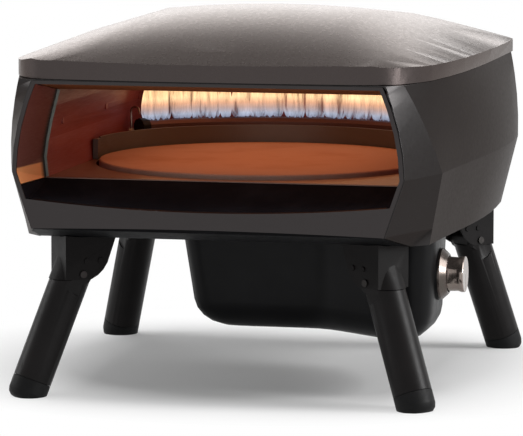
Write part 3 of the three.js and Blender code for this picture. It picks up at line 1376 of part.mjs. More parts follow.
const LEG_PLACES = [
  { end: 'front', half: FRONT_FOOT_HALF, y: FRONT_FOOT_Y, heading: -FRONT_HEADING },
  { end: 'back', half: BACK_FOOT_HALF, y: BACK_FOOT_Y, heading: BACK_HEADING },
];

// Everything above the base pan's lower face, with a clearance, in world axes.
function abovePan() {
  const far = BELT_BACK_HALF + BELT_BOW + OVERRUN;
  const low = BASE_Z - SEAT_GAP;
  const outline = [
    [-OVERRUN, SILL_Z - PLATE_SHEET + OVERRUN * PAN_SLOPE],
    [BASE_FRONT_Y, low],
    [BASE_BACK_Y + OVERRUN, low],
    [BASE_BACK_Y + OVERRUN, SKIRT_TOP_Z + 2 * OVERRUN],
    [-OVERRUN, SKIRT_TOP_Z + 2 * OVERRUN],
  ];
  return prismX(outline, -far, far);
}

// Assembly

function piece(name, finish, body) {
  const mesh = new THREE.Mesh(geometryOf(body), new THREE.MeshStandardMaterial(FINISHES[finish]));
  mesh.name = name;
  return mesh;
}

function buildOven() {
  const parts = [];
  const put = (name, finish, body) => parts.push(piece(name, finish, body));
  const flip = (body) => body.mirror([1, 0, 0]);
  const mixer = mixerSolid(MIXER_RADIUS, 0);
  const mixerRoom = mixerSolid(MIXER_RADIUS + RUN_GAP, SEAT_GAP);

  put('outer_shell', 'shell', buildOuterShell());
  put('front_frame', 'shell', buildFrontFrame());
  put('lid', 'shell', buildLid());
  put('base_pan', 'blackSteel', buildBasePan(mixerRoom));
  put('roof_insulation', 'ceramic', buildInsulation());
  put('chamber_roof', 'liner', buildChamberRoof());
  const liner = buildLiner();
  put('liner_right', 'liner', liner);
  put('liner_left', 'liner', flip(liner));
  put('liner_back', 'liner', buildBackLiner());
  const cheek = buildCheekLiner();
  put('cheek_liner_right', 'liner', cheek);
  put('cheek_liner_left', 'liner', flip(cheek));
  put('front_apron', 'blackSteel', buildApron());
  put('floor_plate', 'liner', buildFloorPlate(mixerRoom));

  put('pizza_stone', 'stone', buildStone());
  put('turntable_carrier', 'steel', buildCarrier());
  put('drive_shaft', 'steel', buildShaft());
  put('shaft_bush', 'brass', buildBush());
  put('gear_motor', 'plastic', buildGearMotor());
  put('battery_box', 'plastic', buildBatteryBox());

  put('flame_deflector', 'liner', buildDeflector());
  put('burner_tube', 'steel', buildBurner());
  put('burner_cup', 'blackSteel', buildBurnerCup());
  SADDLE_SHARES.forEach((share, i) => put(`burner_saddle_${i + 1}`, 'steel', buildSaddle(share)));
  put('igniter_insulator', 'ceramic', buildInsulator());
  put('igniter_rod', 'steel', buildIgniterRod());
  put('mixing_tube', 'steel', mixer);

  put('housing', 'blackSteel', buildHousing());
  put('gas_valve', 'brass', buildValve());
  put('gas_pipe', 'brass', buildGasPipe());
  put('gas_inlet', 'brass', buildInlet());
  put('valve_plunger', 'steel', buildPlunger());
  put('valve_stem', 'steel', buildStem());
  put('knob_bezel', 'bronze', buildBezel());
  put('gas_knob', 'bronze', buildKnob());

  const pan = abovePan();
  const leg = buildLeg();
  const foot = buildFoot();
  const pin = buildPin();
  for (const place of LEG_PLACES) {
    const set = (body) => planted(body, place.half, place.y, place.heading);
    const unset = pan.translate([FOOT_OUT * Math.cos(place.heading) - place.half, FOOT_OUT * Math.sin(place.heading) - place.y, 0])
      .rotate([0, 0, -THREE.MathUtils.radToDeg(place.heading)]);
    const kit = {
      leg_bracket: ['blackSteel', set(buildBracket(unset))],
      leg_pin: ['steel', set(pin)],
      leg: ['leg', set(leg)],
      foot: ['rubber', set(foot)],
    };
    for (const [name, [finish, body]] of Object.entries(kit)) {
      put(`${name}_${place.end}_right`, finish, body);
      put(`${name}_${place.end}_left`, finish, flip(body));
    }
  }

  const group = new THREE.Group();
  group.add(...parts);
  const whole = new THREE.Box3().setFromObject(group);
  const middle = whole.getCenter(new THREE.Vector3());
  for (const part of parts) part.geometry.translate(-middle.x, -middle.y, -whole.min.z);
  return group;
}

export default buildOven();
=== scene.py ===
"""Dresses the portable pizza oven: smooth bevelled skins, finishes, fire, floor and light."""

import json
import math

import bmesh
import bpy
from mathutils import Matrix, Vector

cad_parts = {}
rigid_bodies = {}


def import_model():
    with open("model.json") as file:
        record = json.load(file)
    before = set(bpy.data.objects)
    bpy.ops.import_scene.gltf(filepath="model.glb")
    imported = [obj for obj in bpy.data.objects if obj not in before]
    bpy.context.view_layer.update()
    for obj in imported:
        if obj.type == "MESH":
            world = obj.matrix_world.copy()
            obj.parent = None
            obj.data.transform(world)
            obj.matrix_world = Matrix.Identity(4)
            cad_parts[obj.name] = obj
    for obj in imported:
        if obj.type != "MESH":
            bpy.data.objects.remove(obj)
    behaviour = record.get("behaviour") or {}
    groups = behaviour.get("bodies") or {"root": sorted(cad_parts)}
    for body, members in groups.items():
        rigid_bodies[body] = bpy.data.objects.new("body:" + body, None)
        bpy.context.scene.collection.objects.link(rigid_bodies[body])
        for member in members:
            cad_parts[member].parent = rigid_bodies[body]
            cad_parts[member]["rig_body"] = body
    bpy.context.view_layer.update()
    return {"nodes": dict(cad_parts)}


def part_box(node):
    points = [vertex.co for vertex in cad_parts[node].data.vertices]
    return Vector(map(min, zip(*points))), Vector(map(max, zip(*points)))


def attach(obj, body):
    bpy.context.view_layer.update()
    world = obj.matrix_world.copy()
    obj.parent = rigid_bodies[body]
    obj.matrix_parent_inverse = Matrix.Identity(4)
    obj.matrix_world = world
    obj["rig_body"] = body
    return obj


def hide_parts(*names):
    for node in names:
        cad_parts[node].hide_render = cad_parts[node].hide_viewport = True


bl_info = {
    "name": "Portable Pizza Oven",
    "version": (1, 0, 0),
    "blender": (4, 5, 0),
    "location": "3D View > Sidebar > Pizza Oven",
    "description": "Dresses the packed oven with its finishes, its fire and a studio floor",
    "category": "Object",
}

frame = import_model()
nodes = frame["nodes"]

BODY = "oven_body"
ENDS = ("front_right", "front_left", "back_right", "back_left")

# The photograph's view: where the camera stands and how it is turned
CAMERA_PLACE = Vector((0.8121, -3.6411, 0.5965))
CAMERA_YAW = math.radians(12.594)
CAMERA_PITCH = math.radians(6.715)
CAMERA_ROLL = math.radians(-0.088)
CAMERA_LENS = 257.55
CAMERA_SENSOR = 36.0

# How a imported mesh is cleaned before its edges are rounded
MERGE_DISTANCE = 1e-6
FLAT_ANGLE = math.radians(0.4)

# Which of the shell's slight folds are creases: the belt's heights, and a fold's least angle and rise
BELT_RISE = (0.219, 0.2265)
FOLD_ANGLE = math.radians(9.0)
STEEP_SHARE = 0.6
LEVEL_SHARE = 0.2

# Marks on the chamber's steel: darker towards the top of the walls, a painted highlight on the walls'
# front flange, painted firelight low on the cheeks and painted shade along the cheeks' back edge
DARKER_TOP_RISE = 0.09
FLANGE_DEPTH = 0.0012
PAINTED_FIRELIGHT_RISE = 0.0155
PAINTED_SHADE_DEPTH = 0.012

# Where the fire stands on its tube, and how it strays from its arc
FIRE_SINK = 0.0015
FIRE_ROOF_GAP = 0.001
FIRE_SCATTER = 0.0035
FIRE_SPAN_SHARE = 0.72
FIRE_START_ANGLE = 0.02
FIRE_TRIM_ANGLE = 0.03

# One tongue of fire: its sides, and its width at each share of its height
TONGUE_SIDES = 6
TONGUE_PROFILE = ((0.06, 0.5), (0.2, 0.95), (0.42, 1.0), (0.66, 0.72), (0.86, 0.34))
TONGUE_SCALES = ((0.6, 0.6, 0.72), (1.5, 1.5, 1.0))
TONGUE_TURNS = ((-0.05, -0.05, 0.0), (0.05, 0.05, 6.28))

# The fire's colours at each share of the height over which they change
FIRE_STOPS = (
    (0.0, (0.16, 0.18, 0.27)),
    (0.2, (0.32, 0.35, 0.44)),
    (0.42, (0.44, 0.30, 0.26)),
    (0.6, (0.68, 0.36, 0.22)),
    (0.82, (1.0, 0.64, 0.34)),
    (1.0, (1.0, 0.60, 0.30)),
)

# The fire's light in the chamber
CLEAR_OF_ROOF = 0.004
GLOW_SIZE = (0.28, 0.34)
GLOW_POWER = 0.25
GLOW_TINT = (1.0, 0.36, 0.14)

# The studio: the world's light, the lamps, and the distances over which the shadow fades to white
SKY_LIGHT = 0.4
CEILING_RISE = (0.15, 0.8)
CEILING_LIGHT = 0.0
LAMPS = (
    ("key_light", (2.55, 0.1, 1.65), (1.1, 1.2), 44.0),
    ("top_light", (0.0, -0.2, 2.7), (2.0, 1.4), 50.0),
    ("left_light", (-2.6, -0.1, 1.0), (1.0, 1.2), 15.0),
    ("back_light", (-1.15, 2.45, 0.97), (2.5, 0.9), 18.0),
)
# A lamp that only shiny surfaces see, for the highlight on the corner panel
EDGE_LIGHT = ("edge_light", (2.5, -0.4, 0.7), (0.8, 0.6), 55.0)
SHADOW_CENTRE_Y = 0.08
SHADOW_FADE = (0.22, 0.40)
SHADOW_LIFT = 0.06
FLOOR_WHITE = (0.82, 0.82, 0.82, 1.0)
LAMP_AIM = (0.0, 0.0, 0.2)
VIEW_REACH = 100.0


# Sizes and colours that a user may change


def length(name, default, description):
    return bpy.props.FloatProperty(
        name=name, description=description, default=default, min=0.0, unit="LENGTH", precision=5
    )


def colour(name, default, description):
    return bpy.props.FloatVectorProperty(
        name=name, description=description, default=default, size=3, min=0.0, max=1.0, subtype="COLOR"
    )


class OvenSizes(bpy.types.PropertyGroup):
    """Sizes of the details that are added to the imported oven"""

    sheet_edge: length("Sheet edge", 0.0007, "Rounding of folded sheet edges")
    frame_edge: length("Frame edge", 0.00095, "Rounding of the edges of the frame round the mouth")
    lid_edge: length("Lid edge", 0.0022, "Rounding of the lid's pressed edges")
    casting_edge: length("Casting edge", 0.0008, "Rounding of turned and moulded edges")
    tongue_height: length("Flame height", 0.054, "Height of one tongue of fire")
    tongue_blue: length("Flame colour height", 0.028, "Height over which the fire's colour changes")
    tongue_width: length("Flame width", 0.0042, "Half width of one tongue of fire")
    flame_count: bpy.props.IntProperty(
        name="Flames", description="Tongues of fire along the burner", default=150, min=1
    )
    flame_seed: bpy.props.IntProperty(
        name="Flame seed", description="Seed for the fire's random shapes", default=4, min=0
    )
    floor_reach: length("Floor reach", 14.0, "Half width of the studio floor")


class OvenColours(bpy.types.PropertyGroup):
    """Colours of the finishes"""

    shell: colour("Shell", (0.041, 0.039, 0.039), "Metallic lacquer of the body")
    frame: colour("Frame", (0.050, 0.045, 0.045), "Metallic lacquer of the frame round the mouth")
    lid: colour("Lid", (0.066, 0.055, 0.053), "Metallic lacquer of the lid")
    black: colour("Black", (0.0035, 0.0035, 0.004), "Black enamel and powder coat")
    leg: colour("Leg", (0.007, 0.006, 0.006), "Powder coat of the legs")
    liner: colour("Liner", (0.31, 0.07, 0.07), "Heat-tinted steel of the chamber")
    cheek: colour("Cheek", (0.14, 0.042, 0.036), "Heat-tinted steel beside the mouth")
    # Painted firelight: the fire's orange light on the cheeks' lower band, painted into their colour
    painted_firelight: colour("Lit cheek", (0.80, 0.36, 0.14), "Bright steel low beside the mouth")
    roof: colour("Roof", (0.17, 0.055, 0.02), "Heat-tinted steel of the chamber's roof")
    floor: colour("Floor plate", (0.22, 0.12, 0.09), "Heat-tinted steel of the floor plate")
    apron: colour("Apron", (0.009, 0.0085, 0.011), "Matt enamel of the sheet behind the lip")
    fence: colour("Deflector", (0.11, 0.105, 0.095), "Scorched steel of the flame deflector")
    stone: colour("Stone", (0.45, 0.27, 0.21), "Unglazed baking stone")
    bronze: colour("Bronze", (0.34, 0.30, 0.26), "Bronze-tinted steel of the knob")


# Node helpers


def surface(name):
    """A new material with a Principled shader; returns the material, its tree and the shader."""
    material = bpy.data.materials.new(name)
    material.use_nodes = True
    tree = material.node_tree
    return material, tree, tree.nodes["Principled BSDF"]


def coordinates(tree, stretch=(1.0, 1.0, 1.0), move=(0.0, 0.0, 0.0)):
    """Object coordinates, stretched and moved by a Mapping node."""
    source = tree.nodes.new("ShaderNodeTexCoord")
    mapping = tree.nodes.new("ShaderNodeMapping")
    mapping.inputs["Scale"].default_value = stretch
    mapping.inputs["Location"].default_value = move
    tree.links.new(source.outputs["Object"], mapping.inputs["Vector"])
    return mapping.outputs["Vector"]


def noise(tree, scale, detail=4.0, roughness=0.55, stretch=(1.0, 1.0, 1.0)):
    node = tree.nodes.new("ShaderNodeTexNoise")
    node.inputs["Scale"].default_value = scale
    node.inputs["Detail"].default_value = detail
    node.inputs["Roughness"].default_value = roughness
    tree.links.new(coordinates(tree, stretch), node.inputs["Vector"])
    return node.outputs["Fac"]


def cells(tree, scale):
    node = tree.nodes.new("ShaderNodeTexVoronoi")
    node.inputs["Scale"].default_value = scale
    tree.links.new(coordinates(tree), node.inputs["Vector"])
    return node.outputs["Distance"]


def between(tree, value, low, high, to_low=0.0, to_high=1.0):
    """Maps a value from one range to another, held at its ends."""
    node = tree.nodes.new("ShaderNodeMapRange")
    tree.links.new(value, node.inputs["Value"])
    node.inputs["From Min"].default_value = low
    node.inputs["From Max"].default_value = high
    node.inputs["To Min"].default_value = to_low
    node.inputs["To Max"].default_value = to_high
    return node.outputs["Result"]


def calculate(tree, operation, first, second):
    node = tree.nodes.new("ShaderNodeMath")
    node.operation = operation
    tree.links.new(first, node.inputs[0])
    tree.links.new(second, node.inputs[1])
    return node.outputs[0]


def blend_colours(tree, factor, first, second):
    node = tree.nodes.new("ShaderNodeMix")
    node.data_type = "RGBA"
    tree.links.new(factor, node.inputs["Factor"])
    for socket, value in ((node.inputs[6], first), (node.inputs[7], second)):
        if isinstance(value, bpy.types.NodeSocket):
            tree.links.new(value, socket)
        else:
            socket.default_value = (*value, 1.0)
    return node.outputs[2]


def along(tree, axis):
    """One component of the Object coordinates."""
    split = tree.nodes.new("ShaderNodeSeparateXYZ")
    tree.links.new(coordinates(tree), split.inputs["Vector"])
    return split.outputs[axis]


def bump(tree, shader, height, strength, distance, before=None):
    node = tree.nodes.new("ShaderNodeBump")
    node.inputs["Strength"].default_value = strength
    node.inputs["Distance"].default_value = distance
    tree.links.new(height, node.inputs["Height"])
    if before is not None:
        tree.links.new(before, node.inputs["Normal"])
    tree.links.new(node.outputs["Normal"], shader.inputs["Normal"])
    return node.outputs["Normal"]


def shade(value, factor):
    return tuple(min(1.0, c * factor) for c in value)


# Finishes

# Colours that the lacquers turn to at a grazing angle
SHELL_RIM = (0.46, 0.44, 0.43)
LID_RIM = (0.70, 0.66, 0.64)

# Colours of what a user has no need to change
# A painted highlight: the light grey painted on the chamber walls' front flange
PAINTED_FLANGE_HIGHLIGHT = (0.20, 0.21, 0.19)
DRIVE_STEEL = (0.55, 0.53, 0.5)
BURNER_STEEL = (0.12, 0.065, 0.06)
IGNITER_STEEL = (0.3, 0.24, 0.2)
MIXER_STEEL = (0.5, 0.47, 0.43)
STEM_STEEL = (0.5, 0.48, 0.45)
PIN_STEEL = (0.035, 0.033, 0.031)
MOTOR_PLASTIC = (0.02, 0.02, 0.022)
FOOT_RUBBER = (0.004, 0.004, 0.0042)
CERAMIC = ((0.78, 0.74, 0.66), (0.5, 0.4, 0.3))
WOOL = ((0.62, 0.58, 0.5), (0.85, 0.82, 0.74))
BRASS = ((0.52, 0.34, 0.12), (0.74, 0.55, 0.26))


def metallic_lacquer(name, tint, rim, rough, peel=0.03):
    """Dark metallic lacquer with fine flake, faint clouding and a little orange peel."""
    material, tree, shader = surface(name)
    flake = cells(tree, 2600.0)
    cloud = noise(tree, 7.0, 3.0)
    toned = blend_colours(tree, between(tree, flake, 0.05, 0.6), shade(tint, 1.2), shade(tint, 0.92))
    clouded = blend_colours(tree, between(tree, cloud, 0.35, 0.7), toned, shade(tint, 0.94))
    tree.links.new(clouded, shader.inputs["Base Color"])
    grain = noise(tree, 260.0, 3.0)
    tree.links.new(between(tree, grain, 0.3, 0.7, *rough), shader.inputs["Roughness"])
    shader.inputs["Metallic"].default_value = 1.0
    shader.inputs["Specular Tint"].default_value = (*rim, 1.0)
    bump(tree, shader, noise(tree, 900.0, 2.0), peel, 0.0003)
    return material


def powder_coat(name, tint, rough=(0.42, 0.58), pebble=1500.0, depth=0.18, shine=0.22):
    """Powder coat with its fine pebble and a little dust in random patches."""
    material, tree, shader = surface(name)
    shader.inputs["Specular IOR Level"].default_value = shine
    dust = between(tree, noise(tree, 22.0, 5.0), 0.45, 0.8)
    tree.links.new(blend_colours(tree, dust, tint, shade(tint, 1.7)), shader.inputs["Base Color"])
    grain = noise(tree, 120.0, 3.0)
    tree.links.new(between(tree, grain, 0.3, 0.7, *rough), shader.inputs["Roughness"])
    bump(tree, shader, noise(tree, pebble, 2.0), depth, 0.0004)
    return material


def tinted_steel(
    name, tint, rough=(0.3, 0.46), metallic=0.85, shine=0.5, stretch=(1.0, 0.06, 1.0), marks=()
):
    """Brushed steel, tinted by heat in soft bands.

    Each mark is an axis, the places where it begins and where it is whole, and its colour.
    """
    material, tree, shader = surface(name)
    shader.inputs["Specular IOR Level"].default_value = shine
    heat = between(tree, noise(tree, 9.0, 4.0), 0.35, 0.7)
    warm = blend_colours(tree, heat, tint, (tint[0] * 0.72, tint[1] * 0.55, tint[2] * 0.62))
    strokes = noise(tree, 700.0, 3.0, 0.6, stretch)
    result = blend_colours(tree, between(tree, strokes, 0.3, 0.75), shade(tint, 0.82), warm)
    for axis, begins, whole, marked in marks:
        result = blend_colours(tree, between(tree, along(tree, axis), begins, whole), result, marked)
    tree.links.new(result, shader.inputs["Base Color"])
    tree.links.new(between(tree, strokes, 0.3, 0.7, *rough), shader.inputs["Roughness"])
    shader.inputs["Metallic"].default_value = metallic
    bump(tree, shader, strokes, 0.06, 0.0003)
    return material


def baked_stone(name, tint):
    """Unglazed stone: sandy grain, small pits and a few toasted patches."""
    material, tree, shader = surface(name)
    sand = noise(tree, 900.0, 6.0, 0.7)
    pits = cells(tree, 420.0)
    toast = between(tree, noise(tree, 14.0, 5.0), 0.5, 0.75)
    grained = blend_colours(tree, between(tree, sand, 0.35, 0.7), shade(tint, 0.86), shade(tint, 1.1))
    toasted = blend_colours(tree, toast, grained, (tint[0] * 0.8, tint[1] * 0.68, tint[2] * 0.6))
    tree.links.new(toasted, shader.inputs["Base Color"])
    tree.links.new(between(tree, sand, 0.3, 0.7, 0.78, 0.95), shader.inputs["Roughness"])
    fine = bump(tree, shader, sand, 0.25, 0.0005)
    bump(tree, shader, between(tree, pits, 0.0, 0.3), 0.15, 0.0004, fine)
    return material


def moulded_rubber(name, tint):
    """Moulded rubber with a fine matt grain."""
    material, tree, shader = surface(name)
    wear = between(tree, noise(tree, 60.0, 4.0), 0.45, 0.75)
    shader.inputs["Specular IOR Level"].default_value = 0.14
    tree.links.new(blend_colours(tree, wear, tint, shade(tint, 1.8)), shader.inputs["Base Color"])
    tree.links.new(between(tree, noise(tree, 300.0), 0.3, 0.7, 0.5, 0.64), shader.inputs["Roughness"])
    bump(tree, shader, noise(tree, 2200.0, 2.0), 0.22, 0.0003)
    return material


def fired_ceramic(name):
    """Fired ceramic, mottled by heat."""
    material, tree, shader = surface(name)
    mottled = between(tree, noise(tree, 180.0, 5.0), 0.4, 0.75)
    tree.links.new(blend_colours(tree, mottled, *CERAMIC), shader.inputs["Base Color"])
    shader.inputs["Roughness"].default_value = 0.6
    bump(tree, shader, noise(tree, 1400.0), 0.15, 0.0003)
    return material


def wool_blanket(name):
    """Pale mineral wool with its fibres."""
    material, tree, shader = surface(name)
    fibres = noise(tree, 800.0, 6.0, 0.7, (1.0, 0.15, 1.0))
    tree.links.new(blend_colours(tree, fibres, *WOOL), shader.inputs["Base Color"])
    shader.inputs["Roughness"].default_value = 0.95
    bump(tree, shader, fibres, 0.6, 0.001)
    return material


def turned_brass(name):
    """Brass with the fine lines of a lathe."""
    material, tree, shader = surface(name)
    lines = noise(tree, 500.0, 2.0, 0.5, (1.0, 0.1, 0.1))
    tree.links.new(blend_colours(tree, lines, *BRASS), shader.inputs["Base Color"])
    tree.links.new(between(tree, lines, 0.3, 0.7, 0.24, 0.4), shader.inputs["Roughness"])
    shader.inputs["Metallic"].default_value = 1.0
    bump(tree, shader, lines, 0.08, 0.0002)
    return material


def fire(name, low, high):
    """Glowing gas: blue over the ports, then orange, then nearly white, in see-through streaks."""
    material = bpy.data.materials.new(name)
    material.use_nodes = True
    tree = material.node_tree
    tree.nodes.clear()
    ramp = tree.nodes.new("ShaderNodeValToRGB")
    while len(ramp.color_ramp.elements) < len(FIRE_STOPS):
        ramp.color_ramp.elements.new(0.5)
    for element, (place, value) in zip(ramp.color_ramp.elements, FIRE_STOPS):
        element.position = place
        element.color = (*value, 1.0)
    climb = between(tree, along(tree, "Z"), low, high)
    tree.links.new(climb, ramp.inputs["Fac"])
    streaks = noise(tree, 160.0, 4.0, 0.6, (1.0, 1.0, 0.16))
    glow = tree.nodes.new("ShaderNodeEmission")
    tree.links.new(ramp.outputs["Color"], glow.inputs["Color"])
    tree.links.new(between(tree, streaks, 0.3, 0.7, 0.7, 1.7), glow.inputs["Strength"])
    clear = tree.nodes.new("ShaderNodeBsdfTransparent")
    mix = tree.nodes.new("ShaderNodeMixShader")
    tree.links.new(between(tree, streaks, 0.42, 0.6, 0.06, 0.9), mix.inputs["Fac"])
    tree.links.new(clear.outputs["BSDF"], mix.inputs[1])
    tree.links.new(glow.outputs["Emission"], mix.inputs[2])
    out = tree.nodes.new("ShaderNodeOutputMaterial")
    tree.links.new(mix.outputs["Shader"], out.inputs["Surface"])
    return material


# Pieces


def dressed(node, material, edge, segments=2, angle=32.0):
    """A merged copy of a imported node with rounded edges, shown in that node's place."""
    source = nodes[node]
    mesh = source.data.copy()
    mesh.name = f"{node}_skin"
    form = bmesh.new()
    form.from_mesh(mesh)
    bmesh.ops.remove_doubles(form, verts=form.verts, dist=MERGE_DISTANCE)
    bmesh.ops.dissolve_limit(form, angle_limit=FLAT_ANGLE, verts=form.verts, edges=form.edges)
    form.to_mesh(mesh)
    form.free()
    piece = bpy.data.objects.new(f"{node}_skin", mesh)
    bpy.context.scene.collection.objects.link(piece)
    mesh.materials.clear()
    mesh.materials.append(material)
    mesh.shade_smooth()
    mesh.set_sharp_from_angle(angle=math.radians(angle))
    if edge > 0:
        rounding = piece.modifiers.new("Rounded edges", "BEVEL")
        rounding.width = edge
        rounding.segments = segments
        rounding.limit_method = "ANGLE"
        rounding.angle_limit = math.radians(angle)
        rounding.harden_normals = True
        rounding.use_clamp_overlap = True
    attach(piece, source["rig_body"])
    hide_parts(node)
    return piece


def crease(piece):
    """Sharpens the slight folds up the panels and along the belt; a panel's twist stays smooth."""
    form = bmesh.new()
    form.from_mesh(piece.data)
    for edge in form.edges:
        run = edge.verts[1].co - edge.verts[0].co
        steep = abs(run.z) / run.length
        middle = (edge.verts[0].co.z + edge.verts[1].co.z) / 2
        at_belt = BELT_RISE[0] < middle < BELT_RISE[1] and steep < LEVEL_SHARE
        if edge.calc_face_angle(0.0) > FOLD_ANGLE and (steep > STEEP_SHARE or at_belt):
            edge.smooth = False
    form.to_mesh(piece.data)
    form.free()


def painted(node, material):
    """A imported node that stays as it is, with a finish."""
    mesh = nodes[node].data
    mesh.materials.clear()
    mesh.materials.append(material)


class OvenOperator:
    """What every operator of the oven shares"""

    bl_options = {"REGISTER", "UNDO"}

    @property
    def sizes(self):
        return bpy.context.scene.oven_sizes

    @property
    def colours(self):
        return bpy.context.scene.oven_colours


class OVEN_OT_shell(OvenOperator, bpy.types.Operator):
    """Dresses the bowed body and the frame round its mouth"""

    bl_idname = "oven.shell"
    bl_label = "Body Shell"

    def execute(self, context):
        lacquer = metallic_lacquer("shell_lacquer", tuple(self.colours.shell), SHELL_RIM, (0.34, 0.4))
        crease(dressed("outer_shell", lacquer, self.sizes.sheet_edge))
        darker = metallic_lacquer("frame_lacquer", tuple(self.colours.frame), SHELL_RIM, (0.34, 0.4))
        dressed("front_frame", darker, self.sizes.frame_edge)
        return {"FINISHED"}


class OVEN_OT_lid(OvenOperator, bpy.types.Operator):
    """Dresses the crowned lid"""

    bl_idname = "oven.lid"
    bl_label = "Lid"

    def execute(self, context):
        lacquer = metallic_lacquer(
            "lid_lacquer", tuple(self.colours.lid), LID_RIM, (0.26, 0.32), peel=0.012
        )
        dressed("lid", lacquer, self.sizes.lid_edge, segments=3, angle=24.0)
        return {"FINISHED"}


class OVEN_OT_chamber(OvenOperator, bpy.types.Operator):
    """Dresses the cooking chamber: walls, roof, cheeks, floor plate and apron"""

    bl_idname = "oven.chamber"
    bl_label = "Cooking Chamber"

    def execute(self, context):
        low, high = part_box("liner_right")
        liner = tuple(self.colours.liner)
        # The walls' colour turns darker towards the top, up to the roof
        darker_top = ("Z", low.z + DARKER_TOP_RISE, high.z, shade(liner, 0.35))
        # A painted highlight: the walls' front flange is painted light grey
        painted_flange_highlight = ("Y", low.y + 2 * FLANGE_DEPTH, low.y + FLANGE_DEPTH, PAINTED_FLANGE_HIGHLIGHT)
        steel = tinted_steel(
            "chamber_steel", liner, rough=(0.4, 0.55), metallic=0.3, marks=(darker_top, painted_flange_highlight)
        )
        for node in ("liner_right", "liner_left", "liner_back"):
            dressed(node, steel, self.sizes.sheet_edge / 2)
        roof = tinted_steel(
            "roof_steel", tuple(self.colours.roof), rough=(0.6, 0.75), metallic=0.0, shine=0.05
        )
        dressed("chamber_roof", roof, self.sizes.sheet_edge / 2)
        cheek_low, cheek_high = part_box("cheek_liner_right")
        # Painted firelight: the cheeks' lower band is painted bright orange
        painted_firelight_top = cheek_low.z + PAINTED_FIRELIGHT_RISE
        painted_firelight = ("Z", painted_firelight_top, painted_firelight_top - FLANGE_DEPTH, tuple(self.colours.painted_firelight))
        black = tuple(self.colours.black)
        # Painted shade: the cheeks' back edge, beside the walls, is painted black
        painted_shade_edge = ("Y", cheek_high.y - PAINTED_SHADE_DEPTH, cheek_high.y - PAINTED_SHADE_DEPTH / 3, black)
        cheek = tinted_steel(
            "cheek_steel", tuple(self.colours.cheek), rough=(0.4, 0.55), metallic=0.3, marks=(painted_firelight, painted_shade_edge)
        )
        for node in ("cheek_liner_right", "cheek_liner_left"):
            dressed(node, cheek, self.sizes.sheet_edge / 2)
        plate = tinted_steel(
            "floor_plate_steel", tuple(self.colours.floor), metallic=0.3, stretch=(0.05, 1.0, 1.0)
        )
        dressed("floor_plate", plate, self.sizes.sheet_edge / 2)
        apron = powder_coat(
            "apron_enamel", tuple(self.colours.apron), rough=(0.7, 0.85), depth=0.08, shine=0.01
        )
        dressed("front_apron", apron, self.sizes.sheet_edge / 2)
        painted("roof_insulation", wool_blanket("fibre_blanket"))
        return {"FINISHED"}


class OVEN_OT_stone(OvenOperator, bpy.types.Operator):
    """Dresses the turning stone and what carries and drives it"""

    bl_idname = "oven.stone"
    bl_label = "Turning Stone"

    def execute(self, context):
        stone = baked_stone("baking_stone", tuple(self.colours.stone))
        dressed("pizza_stone", stone, self.sizes.casting_edge)
        steel = tinted_steel("drive_steel", DRIVE_STEEL)
        for node in ("turntable_carrier", "drive_shaft"):
            dressed(node, steel, self.sizes.casting_edge / 2)
        dressed("shaft_bush", turned_brass("bush_brass"), self.sizes.casting_edge / 2)
        plastic = powder_coat("motor_moulding", MOTOR_PLASTIC, pebble=2400.0)
        for node in ("gear_motor", "battery_box"):
            dressed(node, plastic, self.sizes.casting_edge)
        return {"FINISHED"}


class OVEN_OT_burner(OvenOperator, bpy.types.Operator):
    """Dresses the burner, its saddles and cup, the igniter and the flame deflector"""

    bl_idname = "oven.burner"
    bl_label = "Burner"

    def execute(self, context):
        edge = self.sizes.sheet_edge / 2
        steel = tinted_steel("burner_steel", BURNER_STEEL, rough=(0.35, 0.5), metallic=0.5)
        for node in ("burner_tube", "burner_saddle_1", "burner_saddle_2", "burner_saddle_3"):
            dressed(node, steel, edge * 0.5)
        cup = powder_coat("cup_enamel", tuple(self.colours.black))
        dressed("burner_cup", cup, edge)
        scorched = tinted_steel("deflector_steel", tuple(self.colours.fence), metallic=0.3)
        dressed("flame_deflector", scorched, edge)
        dressed("igniter_insulator", fired_ceramic("igniter_ceramic"), edge)
        wire = tinted_steel("igniter_steel", IGNITER_STEEL)
        dressed("igniter_rod", wire, 0.0)
        dressed("mixing_tube", tinted_steel("mixer_steel", MIXER_STEEL), 0.0)
        return {"FINISHED"}


def tongue_mesh(height, width):
    """One closed tongue of fire, widest low down, with a thin tip."""
    mesh = bpy.data.meshes.new("flame_tongue")
    form = bmesh.new()
    foot = form.verts.new((0, 0, 0))
    rings = []
    for share, wide in TONGUE_PROFILE:
        ring = []
        for i in range(TONGUE_SIDES):
            turn = 2 * math.pi * i / TONGUE_SIDES
            across, deep = math.cos(turn) * width * wide, math.sin(turn) * width * wide
            ring.append(form.verts.new((across, deep, height * share)))
        rings.append(ring)
    tip = form.verts.new((0, 0, height))
    for i in range(TONGUE_SIDES):
        j = (i + 1) % TONGUE_SIDES
        form.faces.new((foot, rings[0][j], rings[0][i]))
        for lower, upper in zip(rings, rings[1:]):
            form.faces.new((lower[i], lower[j], upper[j], upper[i]))
        form.faces.new((rings[-1][i], rings[-1][j], tip))
    form.to_mesh(mesh)
    form.free()
    return mesh


